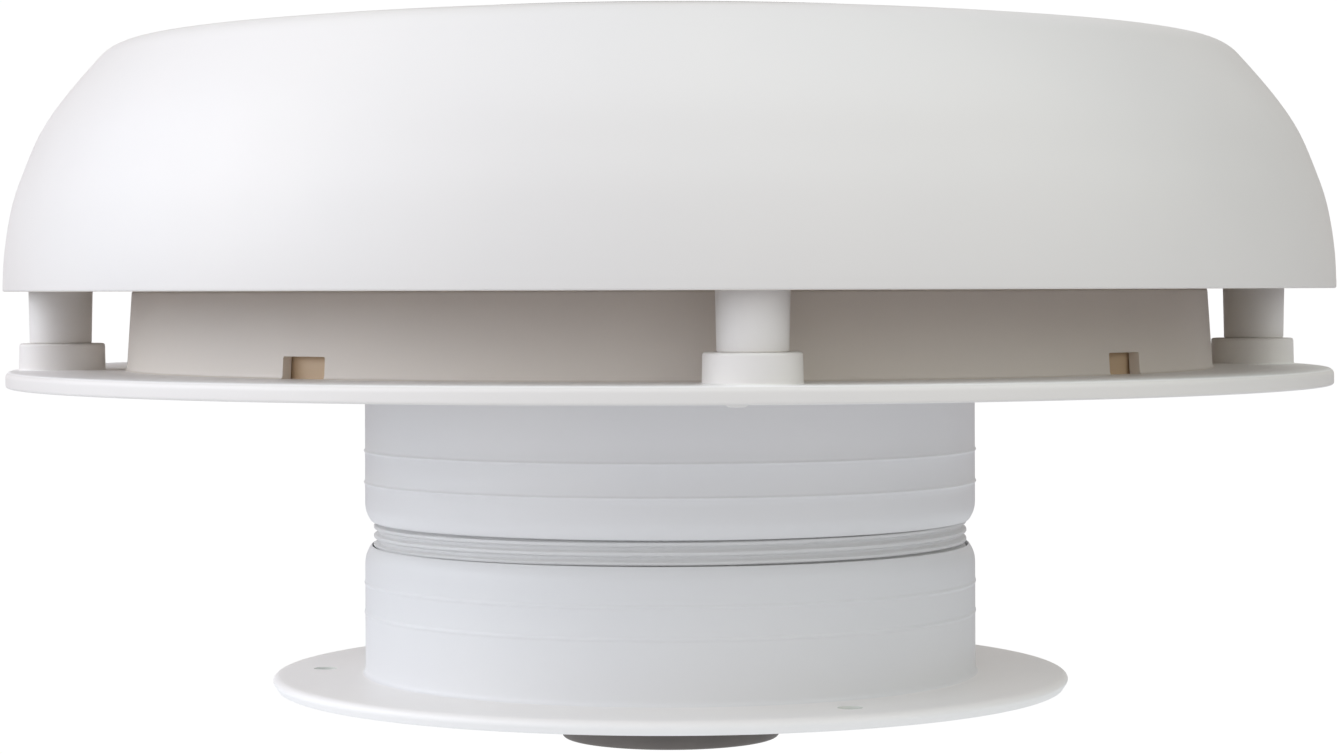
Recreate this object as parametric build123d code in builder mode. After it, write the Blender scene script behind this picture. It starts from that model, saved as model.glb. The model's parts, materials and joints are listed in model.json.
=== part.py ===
from build123d import *
import math
import os

os.makedirs("parts", exist_ok=True)

# Solar marine vent. Millimetres, +Z up.
# z = 0 is the underside of the deck flange, on the axis of the duct.
# The hood posts stand on the X and Y axes.

# ---------------------------------------------------------------- driving dimensions
# hood
HOOD_R = 109.0          # outer radius at the rim
HOOD_RIM_Z = 15.4       # height of the rim above the deck
CROWN_EDGE_R = 91.9     # radius where the side turns into the crown
CROWN_EDGE_Z = 55.0
CROWN_TOP_Z = 60.0
HOOD_WALL = 2.6
POST_PCR = 100.1        # radius of the post circle
POST_R_LOW = 5.0
POST_R_HIGH = 5.25
POST_BOTTOM_Z = 7.2
POST_TOP_Z = 24.5
# solar module in the crown
MODULE_R = 66.7         # rebate in the crown
LEDGE_R = 62.6
LEDGE_Z = 56.2
FLOOR_Z = 54.6          # top of the module floor
FLOOR_UNDER_Z = 52.0
# deck ring
FLANGE_R = 108.6
FLANGE_T = 2.6
BOSS_R = 6.9
COLLAR_R_LOW = 89.35
COLLAR_R_HIGH = 88.5
COLLAR_TOP_Z = 15.55
COLLAR_WALL = 1.8
WINDOW_W = 8.2
WINDOW_H = 3.3
WINDOW_ANGLES = (-133, -47, 47, 133)   # degrees from +X
BAFFLE_R_OUT = 85.7     # splash baffles behind the windows
BAFFLE_R_IN = 84.3
THROAT_R = 46.4         # duct bore
UPSTAND_R = 48.6
UPSTAND_TOP_Z = 12.0
NECK_R = 50.65
NECK_SEAT_R = 51.4      # where the neck sits in the plate
NECK_END_Z = -22.6
NECK_BORE_R = 49.35
RIB_H = 0.2
# sleeve
CREST_R = 49.25
ROOT_R = 48.45
PITCH = 1.5
SLEEVE_TOP_Z = -0.1
SLEEVE_END_Z = -41.5
KEY_SLOT_W = 6.2
KEY_SLOT_R = 47.5
KEY_SLOT_TOP_Z = -23.0
# trim ring
TRIM_R = 65.8
TRIM_TOP_Z = -47.8
TRIM_UNDER_Z = -50.1
TRIM_STEP_R = 48.4      # the underside steps up here to the lip
TRIM_LIP_UNDER_Z = -49.1
TRIM_BORE_R = 49.45
TRIM_COLLAR_TOP_Z = -26.6
TRIM_LIP_R = 45.6
TRIM_LIP_TOP_Z = -46.8
TRIM_HOLE_PCR = 57.8
TRIM_HOLE_R = 1.75
TRIM_HOLE_START = 51.5  # degrees from +X
# inner grille
SEAT_Z = -45.0
SEAT_R_IN = 36.5
GRILLE_UNDER_Z = -51.4
HUB_BORE_R = 4.08
# damper
LIFT = 12.0             # how far the disc is raised when the duct is open
DAMPER_R = 41.0
DISC_Z = -43.2 + LIFT   # underside of the disc, shown open
SPINDLE_R = 4.0
# knob
KNOB_R = 18.2
KNOB_TOP_Z = -51.3
KNOB_UNDER_Z = -58.9
# motor and fan
POD_R = 16.5
POD_UNDER_Z = 17.0
SHAFT_R = 1.0
FAN_R = 44.0
FAN_HUB_R = 15.0
FAN_BLADES = 7


def crown_z(r):
    return CROWN_TOP_Z - (CROWN_TOP_Z - CROWN_EDGE_Z) * (r / 92.0) ** 2.3


def save(piece, name):
    piece.part.label = name
    export_step(piece.part, "parts/" + name + ".step")


# ---------------------------------------------------------------- hood
SIDE_PTS = [(HOOD_R, HOOD_RIM_Z), (108.85, 20.0), (108.2, 25.5), (107.1, 30.5), (105.5, 35.0),
            (103.4, 40.0), (100.65, 44.5), (97.4, 48.7), (94.3, 52.3), (CROWN_EDGE_R, CROWN_EDGE_Z)]
CROWN_PTS = [(CROWN_EDGE_R, CROWN_EDGE_Z)] + [(r, crown_z(r)) for r in (84, 74, 62, 46, 28)] + [(0, CROWN_TOP_Z)]
INNER_PTS = [(106.4, HOOD_RIM_Z), (106.25, 20.0), (105.6, 25.2), (104.5, 29.9), (103.0, 34.0),
             (101.0, 38.7), (98.4, 43.0), (95.3, 47.0), (92.4, 50.3), (90.3, 52.6)]

with BuildPart() as hood_blank:
    # the full outer form, carried down below the rim, that trims the screw pads
    with BuildSketch(Plane.XZ):
        with BuildLine():
            Line((0, 0), (HOOD_R, 0))
            Line((HOOD_R, 0), (HOOD_R, HOOD_RIM_Z))
            Spline(*SIDE_PTS)
            Spline(*CROWN_PTS)
            Line((0, CROWN_TOP_Z), (0, 0))
        make_face()
    revolve(axis=Axis.Z)

with BuildPart() as pad_blank:
    with PolarLocations(POST_PCR, 4):
        Cylinder(6.4, 48.0 - POST_TOP_Z, align=(Align.CENTER, Align.CENTER, Align.MIN))
pads = pad_blank.part.moved(Location((0, 0, POST_TOP_Z))).intersect(hood_blank.part)

with BuildPart() as hood_shell:
    with BuildSketch(Plane.XZ):
        with BuildLine():
            Spline(*SIDE_PTS)
            Spline(*CROWN_PTS)
            Line((0, CROWN_TOP_Z), (0, FLOOR_UNDER_Z))
            Line((0, FLOOR_UNDER_Z), (68.8, FLOOR_UNDER_Z))
            Line((68.8, FLOOR_UNDER_Z), (70.6, 54.8))
            Line((70.6, 54.8), (90.3, 52.6))
            Spline(*reversed(INNER_PTS))
            Line((106.4, HOOD_RIM_Z), (HOOD_R, HOOD_RIM_Z))
        make_face()
    revolve(axis=Axis.Z)
    # softened turn between side and crown
    crown_edge = hood_shell.edges().filter_by(GeomType.CIRCLE).sort_by(
        lambda e: abs(e.radius - CROWN_EDGE_R) + abs(e.center().Z - CROWN_EDGE_Z))[0]
    fillet(crown_edge, 3.0)
    # rebate for the solar module: floor, then a ledge for the lens
    with BuildSketch(Plane.XY.offset(LEDGE_Z)):
        Circle(MODULE_R)
    extrude(amount=8, mode=Mode.SUBTRACT)
    with BuildSketch(Plane.XY.offset(FLOOR_Z)):
        Circle(LEDGE_R)
    extrude(amount=8, mode=Mode.SUBTRACT)
    # pad for the motor pod, open in the middle
    with BuildSketch(Plane.XY.offset(49.0)):
        Circle(26.0)
        Circle(17.0, mode=Mode.SUBTRACT)
    extrude(amount=3.0)
    # eight stiffening webs under the crown
    with BuildSketch(Plane.XY.offset(49.5)):
        with PolarLocations(0, 8, start_angle=22.5):
            with Locations((56.0, 0)):
                Rectangle(62.0, 1.8)
    extrude(amount=3.2)
    # screw pads inside the wall, where the posts end, one with the shell, with pilot holes
    add(pads)
    with BuildSketch(Plane.XY.offset(POST_TOP_Z)):
        with PolarLocations(POST_PCR, 4):
            Circle(1.7)
    extrude(amount=9.5, mode=Mode.SUBTRACT)
    # pilot holes for the motor pod
    with BuildSketch(Plane.XY.offset(49.0)):
        with PolarLocations(21.0, 3, start_angle=90):
            Circle(1.35)
    extrude(amount=4.2, mode=Mode.SUBTRACT)
    # way through the floor for the leads
    with BuildSketch(Plane.XY.offset(FLOOR_UNDER_Z - 1)):
        Circle(3.0)
    extrude(amount=5, mode=Mode.SUBTRACT)
save(hood_shell, "hood_shell")

with BuildPart() as hood_posts:
    # four round spacer posts, wider towards the top, each bored through for its screw
    with PolarLocations(POST_PCR, 4):
        with Locations((0, 0, POST_BOTTOM_Z)):
            Cone(POST_R_LOW, POST_R_HIGH, POST_TOP_Z - POST_BOTTOM_Z, align=(Align.CENTER, Align.CENTER, Align.MIN))
            Cylinder(1.7, POST_TOP_Z - POST_BOTTOM_Z, align=(Align.CENTER, Align.CENTER, Align.MIN), mode=Mode.SUBTRACT)
save(hood_posts, "hood_posts")

# ---------------------------------------------------------------- solar module
with BuildPart() as solar_board:
    with BuildSketch(Plane.XY.offset(FLOOR_Z)):
        Circle(62.0)
    extrude(amount=1.2)
save(solar_board, "solar_board")

with BuildPart() as solar_cells:
    # strips of cell cut to fill the round board
    for i in range(8):
        x = -42.0 + 12.0 * i
        half = math.sqrt(59.0 ** 2 - (abs(x) + 5.6) ** 2)
        with BuildSketch(Plane.XY.offset(FLOOR_Z + 1.2)):
            with Locations((x, 0)):
                Rectangle(11.2, 2 * half)
        extrude(amount=0.3)
save(solar_cells, "solar_cells")

with BuildPart() as panel_lens:
    with BuildSketch(Plane.XZ):
        with BuildLine():
            Line((0, LEDGE_Z), (65.5, LEDGE_Z))
            Line((65.5, LEDGE_Z), (65.5, crown_z(65.5) - 0.3))
            Spline((65.5, crown_z(65.5) - 0.3), (58, crown_z(58) - 0.15), (44, crown_z(44) - 0.12),
                   (26, crown_z(26) - 0.12), (0, CROWN_TOP_Z - 0.12))
            Line((0, CROWN_TOP_Z - 0.12), (0, LEDGE_Z))
        make_face()
    revolve(axis=Axis.Z)
save(panel_lens, "panel_lens")

with BuildPart() as panel_gasket:
    with BuildSketch(Plane.XZ):
        with BuildLine():
            Polyline((65.55, LEDGE_Z), (66.65, LEDGE_Z), (66.65, 57.5), (66.4, 57.7), (65.8, 57.7),
                     (65.55, 57.5), close=True)
        make_face()
    revolve(axis=Axis.Z)
save(panel_gasket, "panel_gasket")

# ---------------------------------------------------------------- deck ring
with BuildPart() as deck_flange:
    # flat plate with a softened edge, open in the middle for the neck
    with BuildSketch(Plane.XZ):
        with BuildLine():
            Line((NECK_SEAT_R, FLANGE_T), (FLANGE_R - 1.0, FLANGE_T))
            ThreePointArc((FLANGE_R - 1.0, FLANGE_T), (FLANGE_R - 0.29, FLANGE_T - 0.29), (FLANGE_R, FLANGE_T - 1.0))
            Line((FLANGE_R, FLANGE_T - 1.0), (FLANGE_R, 0.4))
            Line((FLANGE_R, 0.4), (FLANGE_R - 0.4, 0))
            Line((FLANGE_R - 0.4, 0), (NECK_SEAT_R, 0))
            Line((NECK_SEAT_R, 0), (NECK_SEAT_R, FLANGE_T))
        make_face()
    revolve(axis=Axis.Z)
    # bosses that the hood posts stand on
    with BuildSketch(Plane.XY.offset(FLANGE_T)):
        with PolarLocations(POST_PCR, 4):
            Circle(BOSS_R)
    extrude(amount=POST_BOTTOM_Z - FLANGE_T, mode=Mode.ADD)
    # low splash baffles behind the drain windows of the rain collar
    with BuildSketch(Plane.XY.offset(FLANGE_T)):
        with BuildSketch(mode=Mode.PRIVATE) as sectors:
            for w in WINDOW_ANGLES:
                w0, w1 = math.radians(w - 11.5), math.radians(w + 11.5)
                Polygon((0, 0), (95 * math.cos(w0), 95 * math.sin(w0)), (95 * math.cos(w1), 95 * math.sin(w1)), align=None)
        Circle(BAFFLE_R_OUT)
        Circle(BAFFLE_R_IN, mode=Mode.SUBTRACT)
        add(sectors.sketch, mode=Mode.INTERSECT)
    extrude(amount=5.2)
    # pips that keep an even bed of sealant under the flange
    with BuildSketch(Plane.XY.offset(-1.2)):
        with PolarLocations(83.6, 4):
            Circle(1.6)
    extrude(amount=1.2)
    # screw holes through bosses and flange, countersunk below
    with BuildSketch(Plane.XY):
        with PolarLocations(POST_PCR, 4):
            Circle(1.75)
    extrude(amount=POST_BOTTOM_Z + 1, mode=Mode.SUBTRACT)
    with PolarLocations(POST_PCR, 4):
        Cone(3.6, 1.7, 2.1, align=(Align.CENTER, Align.CENTER, Align.MIN), mode=Mode.SUBTRACT)
save(deck_flange, "deck_flange")

with BuildPart() as rain_collar:
    # low wall that keeps water out of the duct, with drain windows at its foot
    with BuildSketch(Plane.XZ):
        with BuildLine():
            Polyline((COLLAR_R_LOW - COLLAR_WALL, FLANGE_T), (COLLAR_R_HIGH - COLLAR_WALL, COLLAR_TOP_Z - 0.5),
                     (COLLAR_R_HIGH - COLLAR_WALL + 0.5, COLLAR_TOP_Z))
            Line((COLLAR_R_HIGH - COLLAR_WALL + 0.5, COLLAR_TOP_Z), (COLLAR_R_HIGH - 1.1, COLLAR_TOP_Z))
            ThreePointArc((COLLAR_R_HIGH - 1.1, COLLAR_TOP_Z), (COLLAR_R_HIGH - 0.3, COLLAR_TOP_Z - 0.35),
                          (COLLAR_R_HIGH, COLLAR_TOP_Z - 1.1))
            Line((COLLAR_R_HIGH, COLLAR_TOP_Z - 1.1), (COLLAR_R_LOW, FLANGE_T))
            Line((COLLAR_R_LOW, FLANGE_T), (COLLAR_R_LOW - COLLAR_WALL, FLANGE_T))
        make_face()
    revolve(axis=Axis.Z)
    with BuildSketch(Plane.XY.offset(FLANGE_T - 1)):
        for w in WINDOW_ANGLES:
            with Locations(Location((88.0 * math.cos(math.radians(w)), 88.0 * math.sin(math.radians(w))), w)):
                Rectangle(8.0, WINDOW_W)
    extrude(amount=WINDOW_H + 1, mode=Mode.SUBTRACT)
save(rain_collar, "rain_collar")

with BuildPart() as duct_neck:
    # tube set in the plate: a low upstand above it, the upper collar below with two fine beads, drawn in at its lower end
    with BuildSketch(Plane.XZ):
        with BuildLine():
            Polyline((THROAT_R, 0), (THROAT_R, UPSTAND_TOP_Z - 0.8), (THROAT_R + 0.7, UPSTAND_TOP_Z),
                     (UPSTAND_R - 0.7, UPSTAND_TOP_Z), (UPSTAND_R, UPSTAND_TOP_Z - 0.7), (UPSTAND_R, FLANGE_T),
                     (NECK_SEAT_R, FLANGE_T), (NECK_SEAT_R, 0), (NECK_R, 0), (NECK_R, -10.75), (NECK_R + RIB_H, -10.88),
                     (NECK_R + RIB_H, -11.12), (NECK_R, -11.25), (NECK_R, -15.95), (NECK_R + RIB_H, -16.08),
                     (NECK_R + RIB_H, -16.32), (NECK_R, -16.45), (NECK_R, -19.6))
            Spline((NECK_R, -19.6), (NECK_R - 0.3, -21.1), (NECK_R - 1.1, NECK_END_Z), tangents=((0, -1), (-1, -0.55)))
            Line((NECK_R - 1.1, NECK_END_Z), (NECK_BORE_R, NECK_END_Z))
            Line((NECK_BORE_R, NECK_END_Z), (NECK_BORE_R, 0))
            Line((NECK_BORE_R, 0), (THROAT_R, 0))
        make_face()
    revolve(axis=Axis.Z)
save(duct_neck, "duct_neck")

with BuildPart() as hood_screws:
    with PolarLocations(POST_PCR, 4):
        Cone(3.4, 1.55, 1.95, align=(Align.CENTER, Align.CENTER, Align.MIN))
        Cylinder(1.55, 32.0, align=(Align.CENTER, Align.CENTER, Align.MIN))
    # cross recess in each head
    with BuildSketch(Plane.XY):
        with PolarLocations(POST_PCR, 4):
            Rectangle(3.6, 0.7)
            Rectangle(0.7, 3.6)
    extrude(amount=1.2, mode=Mode.SUBTRACT)
save(hood_screws, "hood_screws")

# ---------------------------------------------------------------- threaded sleeve
with BuildPart() as threaded_sleeve:
    groove_pts = []
    z = -1.6
    while z > SLEEVE_END_Z + 1.4:
        groove_pts += [(CREST_R, z + 0.62), (ROOT_R, z + 0.12), (ROOT_R, z - 0.12), (CREST_R, z - 0.62)]
        z -= PITCH
    with BuildSketch(Plane.XZ):
        with BuildLine():
            Polyline((THROAT_R, SLEEVE_TOP_Z), (CREST_R, SLEEVE_TOP_Z), *groove_pts,
                     (CREST_R, SLEEVE_END_Z + 0.5), (CREST_R - 0.5, SLEEVE_END_Z), (THROAT_R, SLEEVE_END_Z), close=True)
        make_face()
    revolve(axis=Axis.Z)
    # two keyways in the bore that stop the inner grille from turning
    with BuildSketch(Plane.XY.offset(SLEEVE_END_Z - 1)):
        with PolarLocations(0, 2):
            with Locations((KEY_SLOT_R - 1.5, 0)):
                Rectangle(3.0, KEY_SLOT_W)
    extrude(amount=KEY_SLOT_TOP_Z - SLEEVE_END_Z + 1, mode=Mode.SUBTRACT)
save(threaded_sleeve, "threaded_sleeve")

# ---------------------------------------------------------------- insect screen in the duct
with BuildPart() as screen_ring:
    with BuildSketch(Plane.XZ):
        with BuildLine():
            Polyline((43.2, -12.4), (46.32, -12.4), (46.32, -9.6), (44.7, -9.6), (44.7, -11.2), (43.2, -11.6), close=True)
        make_face()
    revolve(axis=Axis.Z)
save(screen_ring, "screen_ring")

with BuildPart() as insect_screen:
    with BuildSketch(Plane.XY.offset(-11.15)):
        Circle(44.6)
        Circle(43.4, mode=Mode.SUBTRACT)
    extrude(amount=0.9)
    with BuildSketch(Plane.XY.offset(-10.95)):
        with BuildSketch(mode=Mode.PRIVATE) as wires:
            for i in range(-4, 6):
                c = 9.0 * i - 4.5
                with Locations((c, 0)):
                    Rectangle(0.8, 90.0)
                with Locations((0, c)):
                    Rectangle(90.0, 0.8)
            Circle(43.9, mode=Mode.INTERSECT)
        add(wires.sketch)
    extrude(amount=0.5)
save(insect_screen, "insect_screen")

# ---------------------------------------------------------------- motor pod under the hood
with BuildPart() as motor_pod:
    with BuildSketch(Plane.XZ):
        with BuildLine():
            Polyline((3.4, POD_UNDER_Z), (POD_R - 2.4, POD_UNDER_Z), (POD_R - 0.7, POD_UNDER_Z + 0.8), (POD_R, POD_UNDER_Z + 2.6),
                     (POD_R, 46.5), (24.0, 46.5), (24.0, 49.0), (14.2, 49.0), (14.2, POD_UNDER_Z + 2.0),
                     (3.4, POD_UNDER_Z + 2.0), close=True)
        make_face()
    revolve(axis=Axis.Z)
    # three gussets between cup and ears
    with BuildSketch(Plane.XZ):
        with BuildLine():
            Polyline((POD_R - 0.5, 38.0), (POD_R - 0.5, 46.6), (23.0, 46.6), (23.0, 45.5), close=True)
        make_face()
    extrude(amount=0.9, both=True)
    with BuildSketch(Plane.XY.offset(46.5)):
        with PolarLocations(21.0, 3, start_angle=90):
            Circle(1.65)
    extrude(amount=2.5, mode=Mode.SUBTRACT)
save(motor_pod, "motor_pod")

with BuildPart() as pod_screws:
    for k in range(3):
        a = math.radians(90 + 120 * k)
        with BuildSketch(Plane.XY.offset(44.6)):
            with Locations((21.0 * math.cos(a), 21.0 * math.sin(a))):
                Circle(2.75)
                Rectangle(3.0, 0.6, mode=Mode.SUBTRACT)
        extrude(amount=0.8)
        with BuildSketch(Plane.XY.offset(45.3)):
            with Locations((21.0 * math.cos(a), 21.0 * math.sin(a))):
                Circle(2.75)
        extrude(amount=1.2)
        with BuildSketch(Plane.XY.offset(46.0)):
            with Locations((21.0 * math.cos(a), 21.0 * math.sin(a))):
                Circle(1.28)
        extrude(amount=6.6)
save(pod_screws, "pod_screws")

with BuildPart() as motor_can:
    with BuildSketch(Plane.XZ):
        with BuildLine():
            Polyline((3.02, 19.02), (13.1, 19.02), (13.9, 19.9), (13.9, 44.0), (13.1, 44.0), (13.1, 20.0),
                     (3.02, 20.0), close=True)
        make_face()
    revolve(axis=Axis.Z)
save(motor_can, "motor_can")

with BuildPart() as motor_bushes:
    for z0 in (17.6, 43.2):
        with BuildSketch(Plane.XY.offset(z0)):
            Circle(2.95)
            Circle(SHAFT_R + 0.05, mode=Mode.SUBTRACT)
        extrude(amount=3.8)
save(motor_bushes, "motor_bushes")

with BuildPart() as motor_magnets:
    with BuildSketch(Plane.XY.offset(23.0)):
        Circle(13.05)
        Circle(11.3, mode=Mode.SUBTRACT)
        Rectangle(60.0, 10.0, mode=Mode.SUBTRACT)
    extrude(amount=17.0)
save(motor_magnets, "motor_magnets")

with BuildPart() as motor_end_cap:
    with BuildSketch(Plane.XY.offset(44.0)):
        Circle(13.9)
        Circle(3.0, mode=Mode.SUBTRACT)
    extrude(amount=2.2)
    with BuildSketch(Plane.XY.offset(41.2)):
        Circle(12.95)
        Circle(11.6, mode=Mode.SUBTRACT)
    extrude(amount=2.8)
save(motor_end_cap, "motor_end_cap")

with BuildPart() as motor_brushes:
    # a carbon block on a spring arm, either side of the commutator
    for s in (-1, 1):
        with BuildSketch(Plane.XY.offset(40.6)):
            with Locations((s * 4.6, 0)):
                Rectangle(2.4, 2.2)
        extrude(amount=2.2)
        with BuildSketch(Plane.XY.offset(40.6)):
            with Locations((s * 6.05, 0)):
                Rectangle(0.5, 2.2)
        extrude(amount=3.4)
save(motor_brushes, "motor_brushes")

with BuildPart() as motor_terminals:
    for s in (-1, 1):
        with BuildSketch(Plane.XY.offset(46.2)):
            with Locations((s * 8.0, 0)):
                Rectangle(0.5, 2.8)
        extrude(amount=3.2)
save(motor_terminals, "motor_terminals")

with BuildPart() as lead_grommet:
    with BuildSketch(Plane.XZ):
        with BuildLine():
            Polyline((2.1, 51.0), (4.3, 51.0), (4.3, 52.0), (2.95, 52.0), (2.95, 54.4), (2.1, 54.4), close=True)
        make_face()
    revolve(axis=Axis.Z)
save(lead_grommet, "lead_grommet")

for s, lead_name in ((1, "lead_red"), (-1, "lead_black")):
    with BuildPart() as lead:
        with BuildLine():
            lead_path = FilletPolyline((s * 7.1, 0.0, 46.3), (s * 7.1, 0.0, 49.0), (s * 1.15, 0.0, 50.6), (s * 1.15, 0.0, FLOOR_Z),
                                       radius=[1.0, 1.3])
        with BuildSketch(Plane(origin=(s * 7.1, 0, 46.3), z_dir=(0, 0, 1))):
            Circle(0.6)
        sweep(path=lead_path)
    save(lead, lead_name)

# ---------------------------------------------------------------- fan: shaft, rotor, impeller
with BuildPart() as fan_shaft:
    with BuildSketch(Plane.XY.offset(1.0)):
        Circle(SHAFT_R)
    extrude(amount=45.6)
save(fan_shaft, "fan_shaft")

with BuildPart() as motor_rotor:
    # three-pole armature
    with BuildSketch(Plane.XY.offset(25.0)):
        with BuildSketch(mode=Mode.PRIVATE) as poles:
            Circle(10.9)
            with PolarLocations(7.2, 3, start_angle=60):
                SlotOverall(6.6, 4.4, rotation=0)
        Circle(10.9)
        with PolarLocations(10.6, 3, start_angle=60):
            Circle(3.4, mode=Mode.SUBTRACT)
        Circle(SHAFT_R + 0.02, mode=Mode.SUBTRACT)
    extrude(amount=13.0)
save(motor_rotor, "motor_rotor")

with BuildPart() as commutator:
    with BuildSketch(Plane.XY.offset(38.4)):
        Circle(3.2)
        Circle(SHAFT_R + 0.02, mode=Mode.SUBTRACT)
    extrude(amount=4.4)
save(commutator, "commutator")

with BuildPart() as fan_impeller:
    # hub: a cup open at the top round a shaft boss, domed below
    with BuildSketch(Plane.XZ):
        with BuildLine():
            Line((0, -2.6), (6.0, -2.3))
            Spline((6.0, -2.3), (11.5, -0.9), (14.2, 1.6), (FAN_HUB_R, 4.6), tangents=((1, 0.06), (0, 1)))
            Polyline((FAN_HUB_R, 4.6), (FAN_HUB_R, 12.0), (13.4, 12.0), (13.4, 4.0), (11.5, 1.4), (3.6, 0.6), (3.6, 11.0),
                     (SHAFT_R + 0.02, 11.0), (SHAFT_R + 0.02, 0.9), (0, 0.9))
            Line((0, 0.9), (0, -2.6))
        make_face()
    revolve(axis=Axis.Z)
    # one twisted blade from the hub wall to the tip, repeated round the hub
    with BuildPart(mode=Mode.PRIVATE) as blade:
        for r, chord, pitch_deg, thick in ((14.4, 13.0, 44.0, 1.8), (24.0, 17.0, 34.0, 1.6), (34.0, 20.5, 27.0, 1.4), (FAN_R, 22.0, 22.0, 1.2)):
            with BuildSketch(Plane(origin=(r, 0, 4.8), x_dir=(0, 1, 0), z_dir=(1, 0, 0))):
                with Locations(Location((0, 0), pitch_deg)):
                    SlotOverall(chord, thick)
        loft()
    with PolarLocations(0, FAN_BLADES):
        add(blade.part)
save(fan_impeller, "fan_impeller")

# ---------------------------------------------------------------- trim ring inside the cabin
with BuildPart() as trim_ring:
    with BuildSketch(Plane.XZ):
        with BuildLine():
            Line((TRIM_BORE_R, TRIM_COLLAR_TOP_Z), (NECK_R - 1.1, TRIM_COLLAR_TOP_Z))
            Spline((NECK_R - 1.1, TRIM_COLLAR_TOP_Z), (NECK_R - 0.3, -28.1), (NECK_R, -29.6), tangents=((1, -0.55), (0, -1)))
            Polyline((NECK_R, -29.6), (NECK_R, -32.45), (NECK_R + RIB_H, -32.58), (NECK_R + RIB_H, -32.82), (NECK_R, -32.95),
                     (NECK_R, -37.35), (NECK_R + RIB_H, -37.48), (NECK_R + RIB_H, -37.72), (NECK_R, -37.85),
                     (NECK_R, TRIM_TOP_Z + 1.3))
            ThreePointArc((NECK_R, TRIM_TOP_Z + 1.3), (NECK_R + 0.38, TRIM_TOP_Z + 0.38), (NECK_R + 1.3, TRIM_TOP_Z))
            # flange with a rounded shoulder and a bevelled underside
            Line((NECK_R + 1.3, TRIM_TOP_Z), (TRIM_R - 1.2, TRIM_TOP_Z))
            ThreePointArc((TRIM_R - 1.2, TRIM_TOP_Z), (TRIM_R - 0.36, TRIM_TOP_Z - 0.28), (TRIM_R, TRIM_TOP_Z - 0.85))
            Polyline((TRIM_R, TRIM_TOP_Z - 0.85), (TRIM_R - 0.85, TRIM_UNDER_Z), (TRIM_STEP_R, TRIM_UNDER_Z),
                     (TRIM_STEP_R, TRIM_LIP_UNDER_Z), (TRIM_LIP_R, TRIM_LIP_UNDER_Z), (TRIM_LIP_R, TRIM_LIP_TOP_Z),
                     (TRIM_BORE_R, TRIM_LIP_TOP_Z), (TRIM_BORE_R, TRIM_COLLAR_TOP_Z))
        make_face()
    revolve(axis=Axis.Z)
    with BuildSketch(Plane.XY.offset(TRIM_UNDER_Z - 1)):
        with PolarLocations(TRIM_HOLE_PCR, 3, start_angle=TRIM_HOLE_START):
            Circle(TRIM_HOLE_R)
    extrude(amount=4, mode=Mode.SUBTRACT)
save(trim_ring, "trim_ring")

# ---------------------------------------------------------------- inner grille, held in the trim ring and keyed to the sleeve
with BuildPart() as grille_seat:
    with BuildSketch(Plane.XZ):
        with BuildLine():
            Polyline((SEAT_R_IN, GRILLE_UNDER_Z + 0.4), (SEAT_R_IN + 0.4, GRILLE_UNDER_Z), (47.0, GRILLE_UNDER_Z), (47.6, GRILLE_UNDER_Z + 0.6),
                     (47.6, -49.4), (45.2, -49.4), (45.2, -46.5), (48.9, -46.5), (48.9, SEAT_Z), (43.3, SEAT_Z),
                     (43.3, -49.6), (38.4, -49.6), (38.4, SEAT_Z - 0.3), (38.1, SEAT_Z), (SEAT_R_IN + 0.3, SEAT_Z),
                     (SEAT_R_IN, SEAT_Z - 0.3), close=True)
        make_face()
    revolve(axis=Axis.Z)
    # two keys that run in the keyways of the sleeve
    with BuildSketch(Plane.XY.offset(-46.2)):
        with PolarLocations(0, 2):
            with Locations((45.75, 0)):
                Rectangle(2.7, KEY_SLOT_W - 0.7)
    extrude(amount=18.2)
save(grille_seat, "grille_seat")

with BuildPart() as grille_guard:
    # hub, three guard rings and six spokes inside the seat ring
    with BuildSketch(Plane.XY.offset(-51.0)):
        with BuildSketch(mode=Mode.PRIVATE) as guard:
            with PolarLocations(0, 6):
                with Locations((22.5, 0)):
                    Rectangle(30.0, 2.4)
            for rr in (15.0, 22.0, 29.0):
                with BuildSketch(mode=Mode.PRIVATE) as one_ring:
                    Circle(rr + 0.8)
                    Circle(rr - 0.8, mode=Mode.SUBTRACT)
                add(one_ring.sketch)
            Circle(SEAT_R_IN, mode=Mode.INTERSECT)
            Circle(9.0)
            Circle(HUB_BORE_R, mode=Mode.SUBTRACT)
        add(guard.sketch)
    extrude(amount=2.6)
    with BuildSketch(Plane.XY.offset(-48.4)):
        Circle(9.0)
        Circle(HUB_BORE_R, mode=Mode.SUBTRACT)
    extrude(amount=2.4)
    # the two spokes that carry the guide pins are deeper
    with BuildSketch(Plane.XY.offset(-51.0)):
        with BuildSketch(mode=Mode.PRIVATE) as deep:
            with PolarLocations(0, 2):
                with Locations((22.5, 0)):
                    Rectangle(30.0, 2.4)
                with Locations((25.5, 0)):
                    Circle(2.8)
            Circle(SEAT_R_IN, mode=Mode.INTERSECT)
            Circle(8.4, mode=Mode.SUBTRACT)
        add(deep.sketch)
    extrude(amount=4.0)
    with BuildSketch(Plane.XY.offset(-50.0)):
        with PolarLocations(25.5, 2):
            Circle(1.53)
    extrude(amount=4.0, mode=Mode.SUBTRACT)
save(grille_guard, "grille_guard")

with BuildPart() as guide_pins:
    with BuildSketch(Plane.XY.offset(-49.9)):
        with PolarLocations(25.5, 2):
            Circle(1.5)
    extrude(amount=49.9 + DISC_Z + 3.6)
save(guide_pins, "guide_pins")

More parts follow.
